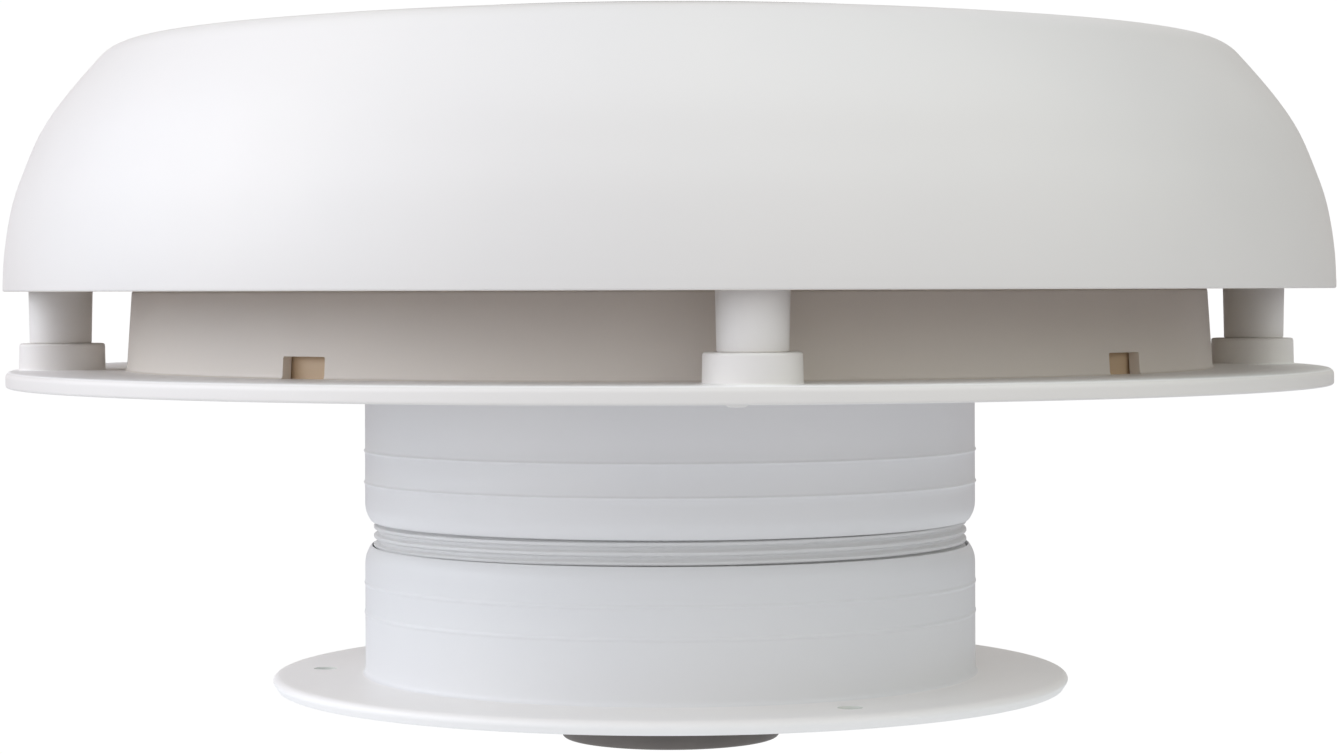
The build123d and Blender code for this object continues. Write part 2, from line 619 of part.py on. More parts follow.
# ---------------------------------------------------------------- damper
with BuildPart() as damper_disc:
    with BuildSketch(Plane.XZ):
        with BuildLine():
            Polyline((SPINDLE_R + 0.1, DISC_Z), (DAMPER_R - 0.4, DISC_Z), (DAMPER_R, DISC_Z + 0.4), (DAMPER_R, DISC_Z + 1.2),
                     (DAMPER_R - 0.4, DISC_Z + 1.6), (10.5, DISC_Z + 1.6), (8.6, DISC_Z + 3.0), (8.0, DISC_Z + 9.2),
                     (SPINDLE_R + 0.1, DISC_Z + 9.2), close=True)
        make_face()
    revolve(axis=Axis.Z)
    # six stiffening webs on top
    with BuildSketch(Plane.XY.offset(DISC_Z + 1.2)):
        with PolarLocations(0, 6, start_angle=30):
            with Locations((22.0, 0)):
                Rectangle(28.0, 1.6)
    extrude(amount=2.2)
    with BuildSketch(Plane.XY.offset(DISC_Z - 1)):
        with PolarLocations(25.5, 2):
            Circle(1.85)
    extrude(amount=8, mode=Mode.SUBTRACT)
save(damper_disc, "damper_disc")

with BuildPart() as damper_seal:
    with BuildSketch(Plane.XZ):
        with BuildLine():
            Polyline((34.6, DISC_Z), (34.6, DISC_Z - 1.1), (35.0, DISC_Z - 1.5), (40.0, DISC_Z - 1.5), (40.4, DISC_Z - 1.1),
                     (40.4, DISC_Z), close=True)
        make_face()
    revolve(axis=Axis.Z)
save(damper_seal, "damper_seal")

# ---------------------------------------------------------------- spindle and knob
SPINDLE_TOP_Z = DISC_Z + 12.0
with BuildPart() as spindle:
    with BuildSketch(Plane.XZ):
        with BuildLine():
            Polyline((0, -57.0), (SPINDLE_R - 0.3, -57.0), (SPINDLE_R, -56.7),
                     (SPINDLE_R, -45.75), (3.4, -45.75), (3.4, -44.85), (SPINDLE_R, -44.85),
                     (SPINDLE_R, SPINDLE_TOP_Z - 2.0), (3.4, SPINDLE_TOP_Z - 2.0), (3.4, SPINDLE_TOP_Z - 1.1),
                     (SPINDLE_R, SPINDLE_TOP_Z - 1.1), (SPINDLE_R, SPINDLE_TOP_Z - 0.5), (SPINDLE_R - 0.5, SPINDLE_TOP_Z),
                     (0, SPINDLE_TOP_Z), close=True)
        make_face()
    revolve(axis=Axis.Z)
    with BuildSketch(Plane.XY.offset(-57.0)):
        Circle(1.45)
    extrude(amount=9.0, mode=Mode.SUBTRACT)
    # flat that drives the knob
    with BuildSketch(Plane.XY.offset(-57.5)):
        with Locations((0, 4.1)):
            Rectangle(12, 1.8)
    extrude(amount=5.3, mode=Mode.SUBTRACT)
save(spindle, "spindle")

with BuildPart() as spindle_clips:
    for z0 in (-45.68, SPINDLE_TOP_Z - 1.95):
        with BuildSketch(Plane.XY.offset(z0)):
            Circle(6.8)
            Circle(3.46, mode=Mode.SUBTRACT)
            with Locations((0, -5)):
                Rectangle(5.6, 10, mode=Mode.SUBTRACT)
        extrude(amount=0.75)
save(spindle_clips, "spindle_clips")

with BuildPart() as knob:
    with BuildSketch(Plane.XZ):
        with BuildLine():
            Polyline((0, KNOB_TOP_Z), (17.3, KNOB_TOP_Z), (17.7, KNOB_TOP_Z - 0.4), (KNOB_R, -57.6))
            ThreePointArc((KNOB_R, -57.6), (KNOB_R - 0.35, -58.5), (KNOB_R - 1.2, KNOB_UNDER_Z))
            Line((KNOB_R - 1.2, KNOB_UNDER_Z), (0, KNOB_UNDER_Z))
            Line((0, KNOB_UNDER_Z), (0, KNOB_TOP_Z))
        make_face()
    revolve(axis=Axis.Z)
    # two finger wells leave a grip bar across the face
    with BuildSketch(Plane.XY.offset(KNOB_UNDER_Z)):
        with BuildSketch(mode=Mode.PRIVATE) as wells:
            Circle(15.2)
            Rectangle(40.0, 8.4, mode=Mode.SUBTRACT)
        add(wells.sketch)
    extrude(amount=4.6, mode=Mode.SUBTRACT)
    # socket for the spindle, with a flat
    with BuildSketch(Plane.XY.offset(-57.05)):
        with BuildSketch(mode=Mode.PRIVATE) as dee:
            Circle(SPINDLE_R + 0.03)
            with Locations((0, 4.1)):
                Rectangle(12, 1.7, mode=Mode.SUBTRACT)
        add(dee.sketch)
    extrude(amount=4.9, mode=Mode.SUBTRACT)
    with BuildSketch(Plane.XY.offset(-52.2)):
        Circle(SPINDLE_R + 0.03)
    extrude(amount=2.0, mode=Mode.SUBTRACT)
    # screw hole, countersunk below
    with BuildSketch(Plane.XY.offset(KNOB_UNDER_Z)):
        Circle(1.6)
    extrude(amount=3.0, mode=Mode.SUBTRACT)
    with Locations((0, 0, KNOB_UNDER_Z)):
        Cone(3.1, 1.55, 1.6, align=(Align.CENTER, Align.CENTER, Align.MIN), mode=Mode.SUBTRACT)
save(knob, "knob")

with BuildPart() as knob_screw:
    with Locations((0, 0, KNOB_UNDER_Z + 0.05)):
        Cone(2.95, 1.4, 1.5, align=(Align.CENTER, Align.CENTER, Align.MIN))
        Cylinder(1.4, 9.8, align=(Align.CENTER, Align.CENTER, Align.MIN))
    with BuildSketch(Plane.XY.offset(KNOB_UNDER_Z)):
        Rectangle(3.2, 0.6)
        Rectangle(0.6, 3.2)
    extrude(amount=1.0, mode=Mode.SUBTRACT)
save(knob_screw, "knob_screw")
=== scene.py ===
import bpy
import bmesh
import json
import math
import numpy as np
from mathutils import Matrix, Quaternion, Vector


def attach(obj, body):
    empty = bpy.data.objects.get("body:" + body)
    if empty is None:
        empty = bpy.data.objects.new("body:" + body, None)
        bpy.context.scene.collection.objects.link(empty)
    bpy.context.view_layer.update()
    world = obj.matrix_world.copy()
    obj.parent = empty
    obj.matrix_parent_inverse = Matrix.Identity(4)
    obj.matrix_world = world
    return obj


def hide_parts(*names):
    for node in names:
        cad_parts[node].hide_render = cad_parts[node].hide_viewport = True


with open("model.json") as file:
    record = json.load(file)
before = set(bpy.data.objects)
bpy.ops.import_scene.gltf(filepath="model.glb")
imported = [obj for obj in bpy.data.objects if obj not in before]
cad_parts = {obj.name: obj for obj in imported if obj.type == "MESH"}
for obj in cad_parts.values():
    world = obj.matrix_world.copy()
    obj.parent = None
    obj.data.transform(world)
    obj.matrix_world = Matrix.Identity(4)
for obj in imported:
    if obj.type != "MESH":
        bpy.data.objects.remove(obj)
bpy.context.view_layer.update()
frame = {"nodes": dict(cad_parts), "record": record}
nodes = frame["nodes"]
MM = 0.001
scene = bpy.context.scene


# ------------------------------------------------------------------ profile helpers (millimetres)
def spline(pts, n=6):
    """Points of a natural cubic through pts, n to a span."""
    p = np.array(pts, float)
    h = np.hypot(*np.diff(p, axis=0).T)
    m = len(p)
    A, B = np.zeros((m, m)), np.zeros((m, 2))
    A[0, 0] = A[-1, -1] = 1
    for i in range(1, m - 1):
        A[i, i - 1], A[i, i], A[i, i + 1] = h[i - 1], 2 * (h[i - 1] + h[i]), h[i]
        B[i] = 6 * ((p[i + 1] - p[i]) / h[i] - (p[i] - p[i - 1]) / h[i - 1])
    M = np.linalg.solve(A, B)
    out = []
    for i in range(m - 1):
        for t in np.linspace(0, h[i], n, endpoint=False):
            a, b = h[i] - t, t
            out.append((M[i] * a ** 3 + M[i + 1] * b ** 3) / (6 * h[i])
                       + (p[i] / h[i] - M[i] * h[i] / 6) * a + (p[i + 1] / h[i] - M[i + 1] * h[i] / 6) * b)
    out.append(p[-1])
    return [(float(x[0]), float(x[1])) for x in out]


def soft(pts, closed=True, support=0.25, longest=5.0):
    """Corners (r, z) or (r, z, radius) to a polyline with rounded corners, a support point beside each arc, and long runs divided."""
    n = len(pts)
    out = []
    for i, q in enumerate(pts):
        p = np.array(q[:2], float)
        rad = q[2] if len(q) > 2 else 0.0
        if rad <= 0 or (not closed and i in (0, n - 1)):
            out.append(p)
            continue
        a = np.array(pts[i - 1][:2], float) - p
        b = np.array(pts[(i + 1) % n][:2], float) - p
        la, lb = np.linalg.norm(a), np.linalg.norm(b)
        a, b = a / la, b / lb
        ang = math.acos(max(-1.0, min(1.0, float(a @ b))))
        if ang > math.pi - 0.03:
            out.append(p)
            continue
        t = min(rad / math.tan(ang / 2), 0.48 * la, 0.48 * lb)
        rr = t * math.tan(ang / 2)
        c = p + (a + b) / np.linalg.norm(a + b) * rr / math.sin(ang / 2)
        s, e = p + a * t - c, p + b * t - c
        a0 = math.atan2(s[1], s[0])
        da = (math.atan2(e[1], e[0]) - a0 + math.pi) % (2 * math.pi) - math.pi
        steps = max(2, int(math.ceil(abs(da) / math.radians(14))))
        for k in range(steps + 1):
            w = a0 + da * k / steps
            out.append(c + rr * np.array([math.cos(w), math.sin(w)]))
    res = []
    m = len(out)
    for i in range(m):
        p = out[i]
        res.append((float(p[0]), float(p[1])))
        if not closed and i == m - 1:
            break
        q = out[(i + 1) % m]
        d = float(np.linalg.norm(q - p))
        if d > 3 * support:
            ts = [support / d]
            k = int(math.ceil((d - 2 * support) / longest))
            ts += [support / d + (1 - 2 * support / d) * j / k for j in range(1, k)]
            ts += [1 - support / d]
            res += [tuple(float(x) for x in p + (q - p) * t) for t in ts]
    return res


# ------------------------------------------------------------------ mesh helpers
def grid_faces(nu, nv, wrap_v=True, off=0):
    """Quads of a grid that closes round u. Vertex (i, j) is i * nv + j."""
    f = []
    for i in range(nu):
        i2 = (i + 1) % nu
        for j in range(nv if wrap_v else nv - 1):
            j2 = (j + 1) % nv
            f.append((off + i * nv + j, off + i2 * nv + j, off + i2 * nv + j2, off + i * nv + j2))
    return f


def lathe_data(profile, seg=128, centre=(0.0, 0.0), closed=True, phase=0.0):
    """Vertices and faces of a solid of revolution. An open profile starts and ends on the axis."""
    P = np.array(profile, float)
    th = phase + np.linspace(0, 2 * math.pi, seg, endpoint=False)
    c, s = np.cos(th)[:, None], np.sin(th)[:, None]
    if closed:
        x = centre[0] + c * P[None, :, 0]
        y = centre[1] + s * P[None, :, 0]
        z = np.repeat(P[None, :, 1], seg, 0)
        v = np.stack([x, y, z], -1).reshape(-1, 3)
        return v, grid_faces(seg, len(P))
    Q = P[1:-1]
    x = centre[0] + c * Q[None, :, 0]
    y = centre[1] + s * Q[None, :, 0]
    z = np.repeat(Q[None, :, 1], seg, 0)
    v = np.stack([x, y, z], -1).reshape(-1, 3)
    nv = len(Q)
    f = grid_faces(seg, nv, wrap_v=False)
    a, b = len(v), len(v) + 1
    v = np.vstack([v, [[centre[0], centre[1], P[0, 1]], [centre[0], centre[1], P[-1, 1]]]])
    for i in range(seg):
        i2 = (i + 1) % seg
        f.append((a, i2 * nv, i * nv))
        f.append((b, i * nv + nv - 1, i2 * nv + nv - 1))
    return v, f


def box_data(lo, hi, edge=0.3, angle=0.0, centre=(0.0, 0.0)):
    """A block with rounded edges, turned about the vertical through centre."""
    bm = bmesh.new()
    bmesh.ops.create_cube(bm, size=1.0)
    for v in bm.verts:
        v.co = Vector([lo[k] + (v.co[k] + 0.5) * (hi[k] - lo[k]) for k in range(3)])
    bmesh.ops.bevel(bm, geom=bm.edges[:], offset=edge, segments=3, profile=0.5, affect="EDGES")
    ca, sa = math.cos(angle), math.sin(angle)
    vs = np.array([[centre[0] + v.co.x * ca - v.co.y * sa, centre[1] + v.co.x * sa + v.co.y * ca, v.co.z] for v in bm.verts])
    fs = [tuple(v.index for v in f.verts) for f in bm.faces]
    bm.free()
    return vs, fs


def merge(*parts):
    vs, fs, off = [], [], 0
    for v, f in parts:
        vs.append(np.asarray(v, float))
        fs += [tuple(k + off for k in q) for q in f]
        off += len(v)
    return np.vstack(vs), fs


def make(name, data, weld=False):
    """An object in metres from vertices in millimetres, with outward normals, not linked to anything yet."""
    v, f = data
    me = bpy.data.meshes.new(name)
    me.from_pydata((np.asarray(v, float) * MM).tolist(), [], f)
    bm = bmesh.new()
    bm.from_mesh(me)
    if weld:
        bmesh.ops.remove_doubles(bm, verts=bm.verts[:], dist=1e-7)
        bmesh.ops.dissolve_degenerate(bm, dist=1e-8, edges=bm.edges[:])
    bmesh.ops.recalc_face_normals(bm, faces=bm.faces[:])
    bm.to_mesh(me)
    bm.free()
    ob = bpy.data.objects.new(name, me)
    scene.collection.objects.link(ob)
    return ob


def boolean(ob, *steps):
    """Applies boolean steps (operation, tool) and leaves a plain mesh."""
    for op, tool in steps:
        m = ob.modifiers.new("cut", "BOOLEAN")
        m.operation, m.solver, m.object = op, "EXACT", tool
    dg = bpy.context.evaluated_depsgraph_get()
    dg.update()
    me = bpy.data.meshes.new_from_object(ob.evaluated_get(dg))
    ob.modifiers.clear()
    old = ob.data
    ob.data = me
    bpy.data.meshes.remove(old)
    for _, tool in steps:
        d = tool.data
        bpy.data.objects.remove(tool)
        bpy.data.meshes.remove(d)
    return ob


def weld(ob):
    """Joins vertices that a boolean left on top of each other."""
    bm = bmesh.new()
    bm.from_mesh(ob.data)
    bmesh.ops.remove_doubles(bm, verts=bm.verts[:], dist=2e-6)
    bmesh.ops.dissolve_degenerate(bm, dist=1e-7, edges=bm.edges[:])
    bm.to_mesh(ob.data)
    bm.free()


def shade(ob, angle=32.0, weighted=False):
    me = ob.data
    me.polygons.foreach_set("use_smooth", [True] * len(me.polygons))
    me.set_sharp_from_angle(angle=math.radians(angle))
    if weighted:
        w = ob.modifiers.new("normals", "WEIGHTED_NORMAL")
        w.mode, w.weight, w.keep_sharp = "FACE_AREA", 60, True
    me.update()
    return ob


def piece(ob, body, slot, mat, *replaced, angle=32.0, weighted=False):
    shade(ob, angle, weighted)
    ob.data.materials.clear()
    ob.data.materials.append(mat)
    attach(ob, body)
    if replaced:
        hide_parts(*replaced)
    return ob


# ------------------------------------------------------------------ materials
def nodes_of(name):
    m = bpy.data.materials.new(name)
    m.use_nodes = True
    nt = m.node_tree
    nt.nodes.clear()
    out = nt.nodes.new("ShaderNodeOutputMaterial")
    bs = nt.nodes.new("ShaderNodeBsdfPrincipled")
    nt.links.new(bs.outputs["BSDF"], out.inputs["Surface"])
    tc = nt.nodes.new("ShaderNodeTexCoord")
    return m, nt, bs, tc.outputs["Object"]


def noise(nt, vec, scale, detail=3.0, rough=0.5, stretch=None):
    if stretch:
        mp = nt.nodes.new("ShaderNodeMapping")
        mp.inputs["Scale"].default_value = stretch
        nt.links.new(vec, mp.inputs["Vector"])
        vec = mp.outputs["Vector"]
    n = nt.nodes.new("ShaderNodeTexNoise")
    n.inputs["Scale"].default_value = scale
    n.inputs["Detail"].default_value = detail
    n.inputs["Roughness"].default_value = rough
    nt.links.new(vec, n.inputs["Vector"])
    return n.outputs["Fac"]


def ranged(nt, fac, lo, hi, a, b):
    r = nt.nodes.new("ShaderNodeMapRange")
    r.inputs["From Min"].default_value, r.inputs["From Max"].default_value = lo, hi
    r.inputs["To Min"].default_value, r.inputs["To Max"].default_value = a, b
    nt.links.new(fac, r.inputs["Value"])
    return r.outputs["Result"]


def mix(nt, fac, ca, cb):
    """Colour between ca and cb; each is a colour or a socket."""
    n = nt.nodes.new("ShaderNodeMix")
    n.data_type = "RGBA"
    nt.links.new(fac, n.inputs["Factor"])
    for sock, c in ((n.inputs[6], ca), (n.inputs[7], cb)):
        if isinstance(c, tuple):
            sock.default_value = (*c, 1.0)
        else:
            nt.links.new(c, sock)
    return n.outputs[2]


def bump(nt, height, strength, distance, normal=None):
    b = nt.nodes.new("ShaderNodeBump")
    b.inputs["Strength"].default_value = strength
    b.inputs["Distance"].default_value = distance
    nt.links.new(height, b.inputs["Height"])
    if normal is not None:
        nt.links.new(normal, b.inputs["Normal"])
    return b.outputs["Normal"]


def plastic(name, col, rough=0.38, spread=0.012, grain=0.10, grain_scale=2600.0, spec=0.45, warm=0.010):
    """Moulded plastic: faint cloudy colour, uneven gloss, slight flow waviness and a fine moulded grain."""
    m, nt, bs, vec = nodes_of(name)
    cloud = noise(nt, vec, 22.0, 4.0)
    lo = tuple(max(0.0, c - spread) for c in col)
    hi = (min(1, col[0] + spread), min(1, col[1] + spread - warm * 0.4), min(1, col[2] + spread - warm))
    c1 = mix(nt, ranged(nt, cloud, 0.3, 0.7, 0, 1), lo, hi)
    # tiny darker and lighter specks in the pigment
    speck = noise(nt, vec, 5200.0, 1.0, 0.4)
    c2 = mix(nt, ranged(nt, speck, 0.70, 0.86, 0.0, 0.35), c1, tuple(c * 0.93 for c in col))
    nt.links.new(c2, bs.inputs["Base Color"])
    sheen_map = noise(nt, vec, 95.0, 4.0, 0.55)
    nt.links.new(ranged(nt, sheen_map, 0.3, 0.7, rough - 0.045, rough + 0.045), bs.inputs["Roughness"])
    n1 = bump(nt, noise(nt, vec, 60.0, 2.0), 0.12, 0.00008)
    n2 = bump(nt, noise(nt, vec, grain_scale, 2.0, 0.55), grain, 0.00003, n1)
    nt.links.new(n2, bs.inputs["Normal"])
    bs.inputs["Specular IOR Level"].default_value = spec
    bs.inputs["IOR"].default_value = 1.48
    return m


def metal(name, col, rough, turned=True, spread=0.05):
    m, nt, bs, vec = nodes_of(name)
    n = noise(nt, vec, 300.0, 3.0, 0.6, stretch=(0.35, 0.35, 12.0) if turned else None)
    c = mix(nt, ranged(nt, n, 0.3, 0.7, 0, 1), tuple(x * (1 - spread) for x in col), tuple(min(1, x * (1 + spread)) for x in col))
    nt.links.new(c, bs.inputs["Base Color"])
    bs.inputs["Metallic"].default_value = 1.0
    nt.links.new(ranged(nt, n, 0.3, 0.7, rough - 0.07, rough + 0.07), bs.inputs["Roughness"])
    nt.links.new(bump(nt, n, 0.15, 0.00003), bs.inputs["Normal"])
    return m


def dull(name, col, rough, grain=0.25, scale=1800.0, spread=0.15, distance=0.00005, spec=0.4):
    m, nt, bs, vec = nodes_of(name)
    a = noise(nt, vec, 140.0, 4.0, 0.6)
    c = mix(nt, ranged(nt, a, 0.3, 0.7, 0, 1), tuple(x * (1 - spread) for x in col), tuple(min(1, x * (1 + spread)) for x in col))
    nt.links.new(c, bs.inputs["Base Color"])
    nt.links.new(ranged(nt, a, 0.3, 0.7, rough - 0.06, rough + 0.06), bs.inputs["Roughness"])
    nt.links.new(bump(nt, noise(nt, vec, scale, 3.0, 0.6), grain, distance), bs.inputs["Normal"])
    bs.inputs["Specular IOR Level"].default_value = spec
    return m


M_HOOD = plastic("white_hood", (0.815, 0.797, 0.775), rough=0.36)
M_DECK = plastic("white_deck", (0.815, 0.793, 0.766), rough=0.38)
# painted warm shade: a warmer copy of the deck plastic for the rain wall, which stands in the hood's shade, standing in
# for the warm bounced light there
M_RAIN_WARM_SHADE = plastic("white_rain_wall_painted_warm_shade", (0.800, 0.747, 0.690), rough=0.40)
# painted warm shade: a warmer copy of the hood plastic for the shaded faces under the shell
M_UNDER_WARM_SHADE = plastic("white_hood_under_painted_warm_shade", (0.815, 0.765, 0.705), rough=0.42)
# painted warm shade: the baffles, white plastic like the deck, are coloured beige-brown to stand in for the warm light
# in the shaded windows
M_BAFFLE_WARM_SHADE = plastic("white_baffle_painted_warm_shade", (0.630, 0.475, 0.320), rough=0.45)
M_NECK = plastic("white_neck", (0.826, 0.826, 0.834), rough=0.39)
M_TRIM = plastic("white_trim", (0.787, 0.792, 0.802), rough=0.40)
# painted light: a lighter copy of the trim plastic for the flange
M_FOOT_PAINTED_LIGHT = plastic("white_trim_flange_painted_light", (0.890, 0.876, 0.862), rough=0.40)
# painted light: a brighter copy of the deck plastic for the top of the plate
M_TOP_PAINTED_LIGHT = plastic("white_deck_top_painted_light", (0.940, 0.930, 0.918), rough=0.42)
# painted shade: a darker copy of the plastic for the walls of the screw holes
M_BORE_PAINTED_SHADE = plastic("white_screw_hole_painted_shade", (0.640, 0.655, 0.620), rough=0.50)
M_SLEEVE = plastic("white_sleeve", (0.750, 0.750, 0.750), rough=0.42)
M_INNER = plastic("white_inner", (0.740, 0.735, 0.720), rough=0.46)
M_KNOB = dull("dark_knob", (0.172, 0.152, 0.138), 0.55, grain=0.45, scale=1500.0, spread=0.07, distance=0.00005)
M_RUBBER = dull("black_rubber", (0.028, 0.028, 0.028), 0.62, grain=0.3, scale=2200.0)
M_STEEL = metal("stainless", (0.62, 0.61, 0.60), 0.30)
M_ZINC = metal("zinc_steel", (0.52, 0.54, 0.56), 0.38)
M_BRONZE = metal("bronze", (0.62, 0.42, 0.22), 0.42, turned=False, spread=0.14)
M_FERRITE = dull("ferrite", (0.05, 0.05, 0.052), 0.7, grain=0.5)
M_BLACK = dull("black_plastic", (0.022, 0.022, 0.023), 0.5)
M_RED = dull("lead_red", (0.42, 0.015, 0.012), 0.42, grain=0.15)
M_BLKLEAD = dull("lead_black", (0.018, 0.018, 0.018), 0.42, grain=0.15)
M_ARM = metal("armature", (0.42, 0.24, 0.13), 0.5, turned=False, spread=0.25)


def board_material():
    m, nt, bs, vec = nodes_of("board_white")
    w = nt.nodes.new("ShaderNodeTexBrick")
    w.inputs["Scale"].default_value = 900.0
    w.inputs["Color1"].default_value = (0.66, 0.68, 0.67, 1)
    w.inputs["Color2"].default_value = (0.72, 0.73, 0.72, 1)
    w.inputs["Mortar"].default_value = (0.60, 0.62, 0.61, 1)
    w.inputs["Mortar Size"].default_value = 0.01
    nt.links.new(vec, w.inputs["Vector"])
    nt.links.new(w.outputs["Color"], bs.inputs["Base Color"])
    n = noise(nt, vec, 500.0, 3.0)
    nt.links.new(ranged(nt, n, 0.3, 0.7, 0.42, 0.55), bs.inputs["Roughness"])
    nt.links.new(bump(nt, n, 0.2, 0.00003), bs.inputs["Normal"])
    return m


def cell_material():
    """Dark blue cell face with fine silver conductor lines across each strip and a faint crystal mottle."""
    m, nt, bs, vec = nodes_of("cell_blue")
    v = nt.nodes.new("ShaderNodeTexVoronoi")
    v.inputs["Scale"].default_value = 260.0
    nt.links.new(vec, v.inputs["Vector"])
    sep = nt.nodes.new("ShaderNodeSeparateColor")
    nt.links.new(v.outputs["Color"], sep.inputs["Color"])
    face = mix(nt, ranged(nt, sep.outputs[0], 0.0, 1.0, 0.0, 1.0), (0.006, 0.010, 0.030), (0.013, 0.024, 0.070))
    xyz = nt.nodes.new("ShaderNodeSeparateXYZ")
    nt.links.new(vec, xyz.inputs["Vector"])
    mul = nt.nodes.new("ShaderNodeMath")
    mul.operation = "MULTIPLY"
    mul.inputs[1].default_value = 1000.0 / 1.7
    nt.links.new(xyz.outputs["Y"], mul.inputs[0])
    fr = nt.nodes.new("ShaderNodeMath")
    fr.operation = "FRACT"
    nt.links.new(mul.outputs[0], fr.inputs[0])
    lt = nt.nodes.new("ShaderNodeMath")
    lt.operation = "LESS_THAN"
    lt.inputs[1].default_value = 0.085
    nt.links.new(fr.outputs[0], lt.inputs[0])
    col = mix(nt, lt.outputs[0], face, (0.42, 0.44, 0.46))
    nt.links.new(col, bs.inputs["Base Color"])
    n = noise(nt, vec, 900.0, 3.0)
    nt.links.new(ranged(nt, n, 0.3, 0.7, 0.22, 0.34), bs.inputs["Roughness"])
    nt.links.new(bump(nt, n, 0.12, 0.00002), bs.inputs["Normal"])
    bs.inputs["Coat Weight"].default_value = 0.6
    bs.inputs["Coat Roughness"].default_value = 0.08
    return m


def lens_material():
    m, nt, bs, vec = nodes_of("clear_lens")
    bs.inputs["Base Color"].default_value = (0.97, 0.985, 0.98, 1)
    bs.inputs["Transmission Weight"].default_value = 1.0
    bs.inputs["IOR"].default_value = 1.46
    n = noise(nt, vec, 40.0, 3.0)
    nt.links.new(ranged(nt, n, 0.3, 0.7, 0.015, 0.05), bs.inputs["Roughness"])
    nt.links.new(bump(nt, noise(nt, vec, 70.0, 2.0), 0.05, 0.00003), bs.inputs["Normal"])
    return m


M_BOARD, M_CELL, M_LENS = board_material(), cell_material(), lens_material()
M_RIBBON = metal("tinned_ribbon", (0.72, 0.72, 0.70), 0.28, turned=False)

MATS = {"white_hood": M_HOOD, "white_deck": M_DECK, "white_trim": M_TRIM, "white_sleeve": M_SLEEVE, "white_inner": M_INNER,
        "board_white": M_BOARD, "cell_blue": M_CELL, "clear_lens": M_LENS, "black_rubber": M_RUBBER, "stainless": M_STEEL,
        "zinc_steel": M_ZINC, "bronze": M_BRONZE, "ferrite": M_FERRITE, "black_plastic": M_BLACK, "lead_red": M_RED,
        "lead_black": M_BLKLEAD, "armature": M_ARM, "dark_knob": M_KNOB}
for part in frame["record"]["subparts"]:
    ob = nodes.get(part["node"])
    if ob is not None:
        ob.data.materials.clear()
        ob.data.materials.append(MATS[part["material_slot"]])

# ------------------------------------------------------------------ hood
SIDE = [(109.0, 15.4), (108.85, 20.0), (108.2, 25.5), (107.1, 30.5), (105.5, 35.0), (103.4, 40.0), (100.65, 44.5),
        (97.4, 48.7), (94.3, 52.3), (91.9, 55.0)]
INNER = [(106.4, 15.4), (106.25, 20.0), (105.6, 25.2), (104.5, 29.9), (103.0, 34.0), (101.0, 38.7), (98.4, 43.0),
         (95.3, 47.0), (92.4, 50.3), (90.3, 52.6)]


def crown_z(r):
    return 60.0 - 5.0 * (r / 92.0) ** 2.3


def trimmed(path, cut):
    """path without its last `cut` millimetres."""
    path = list(path)
    while cut > 0:
        (x0, y0), (x1, y1) = path[-2], path[-1]
        d = math.hypot(x1 - x0, y1 - y0)
        if d > cut:
            t = 1 - cut / d
            path[-1] = (x0 + (x1 - x0) * t, y0 + (y1 - y0) * t)
            return path
        path.pop()
        cut -= d
    return path


def join_round(a, b, cut, steps=9):
    """Path a then path b, with the corner between them taken `cut` back on each and bridged by a smooth arc-like curve."""
    corner = np.array(a[-1])
    a = trimmed(a, cut)
    b = trimmed(b[::-1], cut)[::-1]
    p0, p2 = np.array(a[-1]), np.array(b[0])
    mid = []
    k = 0.62
    c1, c2 = p0 + (corner - p0) * k, p2 + (corner - p2) * k
    for i in range(1, steps):
        t = i / steps
        q = (1 - t) ** 3 * p0 + 3 * (1 - t) ** 2 * t * c1 + 3 * (1 - t) * t * t * c2 + t ** 3 * p2
        mid.append((float(q[0]), float(q[1])))
    return a + mid + b


side = [(min(r, 109.0), z) for r, z in spline(SIDE, 5)]
side = [p for p in side if p[1] > 15.9]
crown = [(91.9, 55.0)] + [(float(r), crown_z(r)) for r in np.linspace(89.5, 68.0, 14)]
outer = join_round(side, crown, 2.6)
rim = soft([(106.4, 17.0), (106.4, 15.4, 0.45), (109.0, 15.4, 0.30), (109.0, 17.0)], closed=False)[1:-1]
rebate = soft([(68.0, crown_z(68.0)), (66.7, crown_z(66.7) + 0.01, 0.35), (66.7, 56.2, 0.12), (62.6, 56.2, 0.2), (62.6, 54.6, 0.2),
               (3.0, 54.6, 0.2), (3.0, 52.0, 0.2), (68.6, 52.0, 1.0), (70.6, 54.8, 1.2), (90.3, 52.6)], closed=False)[1:-1]
inner = [(r, z) for r, z in spline(INNER, 4)[::-1] if z > 16.2]
hood_profile = rim + outer + rebate + inner
hood_ob = make("hood", lathe_data(hood_profile, 360))


def mid_wall_z(r):
    """Height of the middle of the hood's wall at radius r."""
    zs = np.linspace(16, 54, 200)
    ro = np.interp(zs, [p[1] for p in SIDE], [p[0] for p in SIDE])
    ri = np.interp(zs, [p[1] for p in INNER], [p[0] for p in INNER])
    rm = (ro + ri) / 2
    return float(np.interp(-r, -rm, zs))


